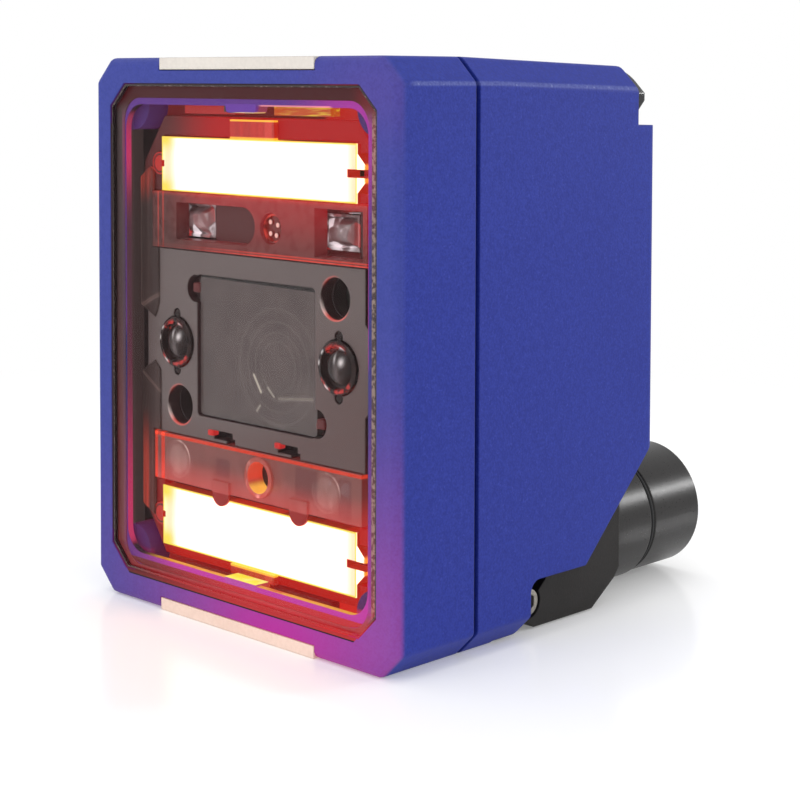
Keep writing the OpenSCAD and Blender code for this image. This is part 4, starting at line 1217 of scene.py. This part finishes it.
def makeSensorFinish():
    spot, x, d, z = startFinish("sensor_red")
    flow = spot.noise(900.0, 2.0)
    midX, midZ = sensor["mid"]
    domes = sum(reach(x, z, midX + dx, midZ + dz).fade(0.2, 0.3) for dx, dz in sensor["domes"]).least(1.0)
    outer = reach(x, z, midX, midZ).smooth(1.2, 1.34)
    endFinish(spot, {
        "Base Color": domes.tint(flow.tint(sensor["dark"], sensor["light"]), sensor["pale"]),
        "Roughness": flow * 0.1 + 0.1,
    }, [
        (flow * 0.6 + 0.1, sensor["red"]),
        (domes, sensor["domeGlow"]),
        (outer * flow.smooth(0.4, 0.6), sensor["rimGlow"]),
    ])


def makeSensor():
    midX, midZ = midOf("range_sensor_lens")
    bm = bmesh.new()
    face = disc(bm, midX, midZ, sensor["radius"] * mm, sensor["front"], sensor["back"], sensor["segments"])
    stepIn(bm, face, sensor["steps"])
    for dx, dz in sensor["domes"]:
        dome = disc(bm, midX + dx * mm, midZ + dz * mm, sensor["domeR"] * mm, *sensor["domeDepth"],
                    sensor["domeSegments"])
        stepIn(bm, dome, sensor["domeSteps"])
    finishPiece("range_sensor_dressed", bm, "sensor_red", "range_sensor_lens")


makeSensorFinish()
makeSensor()

# small red catches: two in the slots below the plate, two that hold the cover's corners, all with a painted
# red glow
catches = {
    "slots": [((-7.2, 2.5, 18.95), (-6.35, 3.4, 19.55)), ((3.3, 2.5, 19.05), (4.1, 3.4, 19.65))],
    "cover": [((-10.15, 3.0, 33.75), (-9.05, 3.9, 34.75)), ((9.05, 3.0, 21.75), (10.15, 3.9, 22.75))],
    "bevel": 0.12,
    "red": ((0.20, 0.012, 0.01), (0.30, 0.02, 0.015), (0.42, 0.012, 0.012)),
    "brown": ((0.06, 0.02, 0.02), (0.09, 0.032, 0.032), (0.05, 0.003, 0.003)),
}


def makeCatchFinish(name, dark, light, glow):
    spot = startFinish(name)[0]
    grain = spot.noise(1600.0, 3.0)
    endFinish(spot, {
        "Base Color": grain.smooth(0.3, 0.7).tint(dark, light),
        **satin(grain, vary=0.16, rough=0.25, lift=0.1, depth=0.00004, gloss=0.2),
    }, [(grain * 0.6 + 0.7, glow)])


def makeCatches(name, places, finish):
    bm = bmesh.new()
    for low, high in places:
        block(bm, low, high, catches["bevel"])
    finishPiece(name, bm, finish)


makeCatchFinish("catch_red", *catches["red"])
makeCatchFinish("catch_brown", *catches["brown"])
makeCatches("slot_catches", catches["slots"], "catch_red")
makeCatches("cover_catches", catches["cover"], "catch_brown")
print("optics dressed")

# pale floor: white where it is far from the object, near it a matte top with a faint mirror image
floor = {"half": 3.0, "drop": 0.00005, "colour": (0.9, 0.9, 0.9), "own": 0.22, "mirror": 0.12, "rough": 0.16,
         "fade": (0.075, 0.17)}


def seenRay(graph):
    # 1 for rays that show the white surroundings, 0 for those that carry light to the object
    ray = graph.make("ShaderNodeLightPath")
    return sum(ray.other(f"Is {kind} Ray") for kind in ("Camera", "Glossy", "Transmission")).least(1.0)


def makeFloor():
    bm = bmesh.new()
    bmesh.ops.create_grid(bm, x_segments=1, y_segments=1, size=floor["half"])
    bmesh.ops.translate(bm, verts=bm.verts, vec=(0, 0, -floor["drop"]))
    mesh = bpy.data.meshes.new("floor")
    bm.to_mesh(mesh)
    bm.free()
    thing = bpy.data.objects.new("floor", mesh)
    bpy.context.scene.collection.objects.link(thing)
    spot = startFinish("floor_white")[0]
    speck = spot.noise(900.0, 2.0)
    away = spot.make("ShaderNodeVectorMath", {"operation": "LENGTH"}, {0: spot}).other("Value")
    far = away.smooth(*floor["fade"])
    matte = spot.make("ShaderNodeBsdfPrincipled", {}, {
        "Base Color": floor["colour"],
        "Roughness": 0.9,
        "Specular IOR Level": 0.0,
        "Emission Color": (1.0, 1.0, 1.0),
        "Emission Strength": floor["own"],
    })
    gloss = spot.make("ShaderNodeBsdfGlossy", {}, {
        "Color": (1, 1, 1), "Roughness": speck * 0.02 + floor["rough"]})
    table = spot.make("ShaderNodeMixShader", {}, {0: floor["mirror"], 1: matte, 2: gloss})
    white = spot.make("ShaderNodeEmission", {}, {"Color": (1, 1, 1), "Strength": 1.0})
    shader = spot.make("ShaderNodeMixShader", {}, {0: far * seenRay(spot), 1: table, 2: white})
    spot.make("ShaderNodeOutputMaterial", {}, {"Surface": shader})
    mesh.materials.append(finishes["floor_white"])


makeFloor()

# white room: the camera sees plain white, the object gets soft light that is stronger from above
room = {"above": 0.9, "below": 0.55}


def makeRoom():
    world = bpy.data.worlds.new("studio")
    bpy.context.scene.world = world
    world.use_nodes = True
    world.node_tree.nodes.clear()
    graph = Wire(world.node_tree)
    way = graph.make("ShaderNodeTexCoord").other("Generated")
    height = graph.make("ShaderNodeSeparateXYZ", {}, {"Vector": way}).other("Z")
    level = height.smooth(-0.2, 0.9) * (room["above"] - room["below"]) + room["below"]
    strength = seenRay(graph) * (1.0 - level) + level
    sky = graph.make("ShaderNodeBackground", {}, {"Color": (1, 1, 1), "Strength": strength})
    graph.make("ShaderNodeOutputWorld", {}, {"Surface": sky})


makeRoom()

# soft boxes: place and aim in metres, size, power
lamps = {
    "keyBox": ((-0.05, -0.65, 0.40), (0.0, 0.0, 0.03), 0.5, 1.3),
    "topBox": ((-0.10, 0.10, 0.75), (0.0, 0.01, 0.03), 0.6, 0.9),
    "sideBox": ((0.70, 0.05, 0.25), (0.0, 0.02, 0.03), 0.4, 0.25),
    "rearBox": ((0.32, 0.50, 0.20), (0.02, 0.04, 0.01), 0.08, 0.8),
}


def makeLamps():
    for name, (where, aim, size, power) in lamps.items():
        light = bpy.data.lights.new(name, "AREA")
        light.shape = "SQUARE"
        light.size = size
        light.energy = power
        thing = bpy.data.objects.new(name, light)
        thing.location = where
        thing.rotation_euler = (Vector(aim) - Vector(where)).to_track_quat("-Z", "Y").to_euler()
        bpy.context.scene.collection.objects.link(thing)


makeLamps()
print("stage and lamps set")

# camera at the photograph's viewing angle, angles in degrees
shot = {"where": (140.866, -119.278, 56.288), "yaw": 44.536, "pitch": 2.822, "roll": 0.153, "lens": 82.45,
        "shift": -0.288}


def makeCamera():
    camera = bpy.data.cameras.new("shot")
    camera.lens = shot["lens"]
    camera.sensor_width = 36.0
    camera.sensor_fit = "HORIZONTAL"
    camera.shift_y = shot["shift"]
    camera.clip_start = 0.01
    yaw, pitch, roll = (math.radians(shot[k]) for k in ("yaw", "pitch", "roll"))
    ahead = Vector((-math.sin(yaw) * math.cos(pitch), math.cos(yaw) * math.cos(pitch), -math.sin(pitch)))
    right = Vector((math.cos(yaw), math.sin(yaw), 0))
    above = right.cross(ahead)
    turnedRight = right * math.cos(roll) + above * math.sin(roll)
    turnedAbove = above * math.cos(roll) - right * math.sin(roll)
    thing = bpy.data.objects.new("shot", camera)
    thing.matrix_world = Matrix((turnedRight, turnedAbove, -ahead)).transposed().to_4x4()
    thing.location = Vector(shot["where"]) * mm + Vector((0, frontY, 0))
    bpy.context.scene.collection.objects.link(thing)
    bpy.context.scene.camera = thing


makeCamera()
bpy.context.scene.view_settings.view_transform = "Standard"
print("camera set")
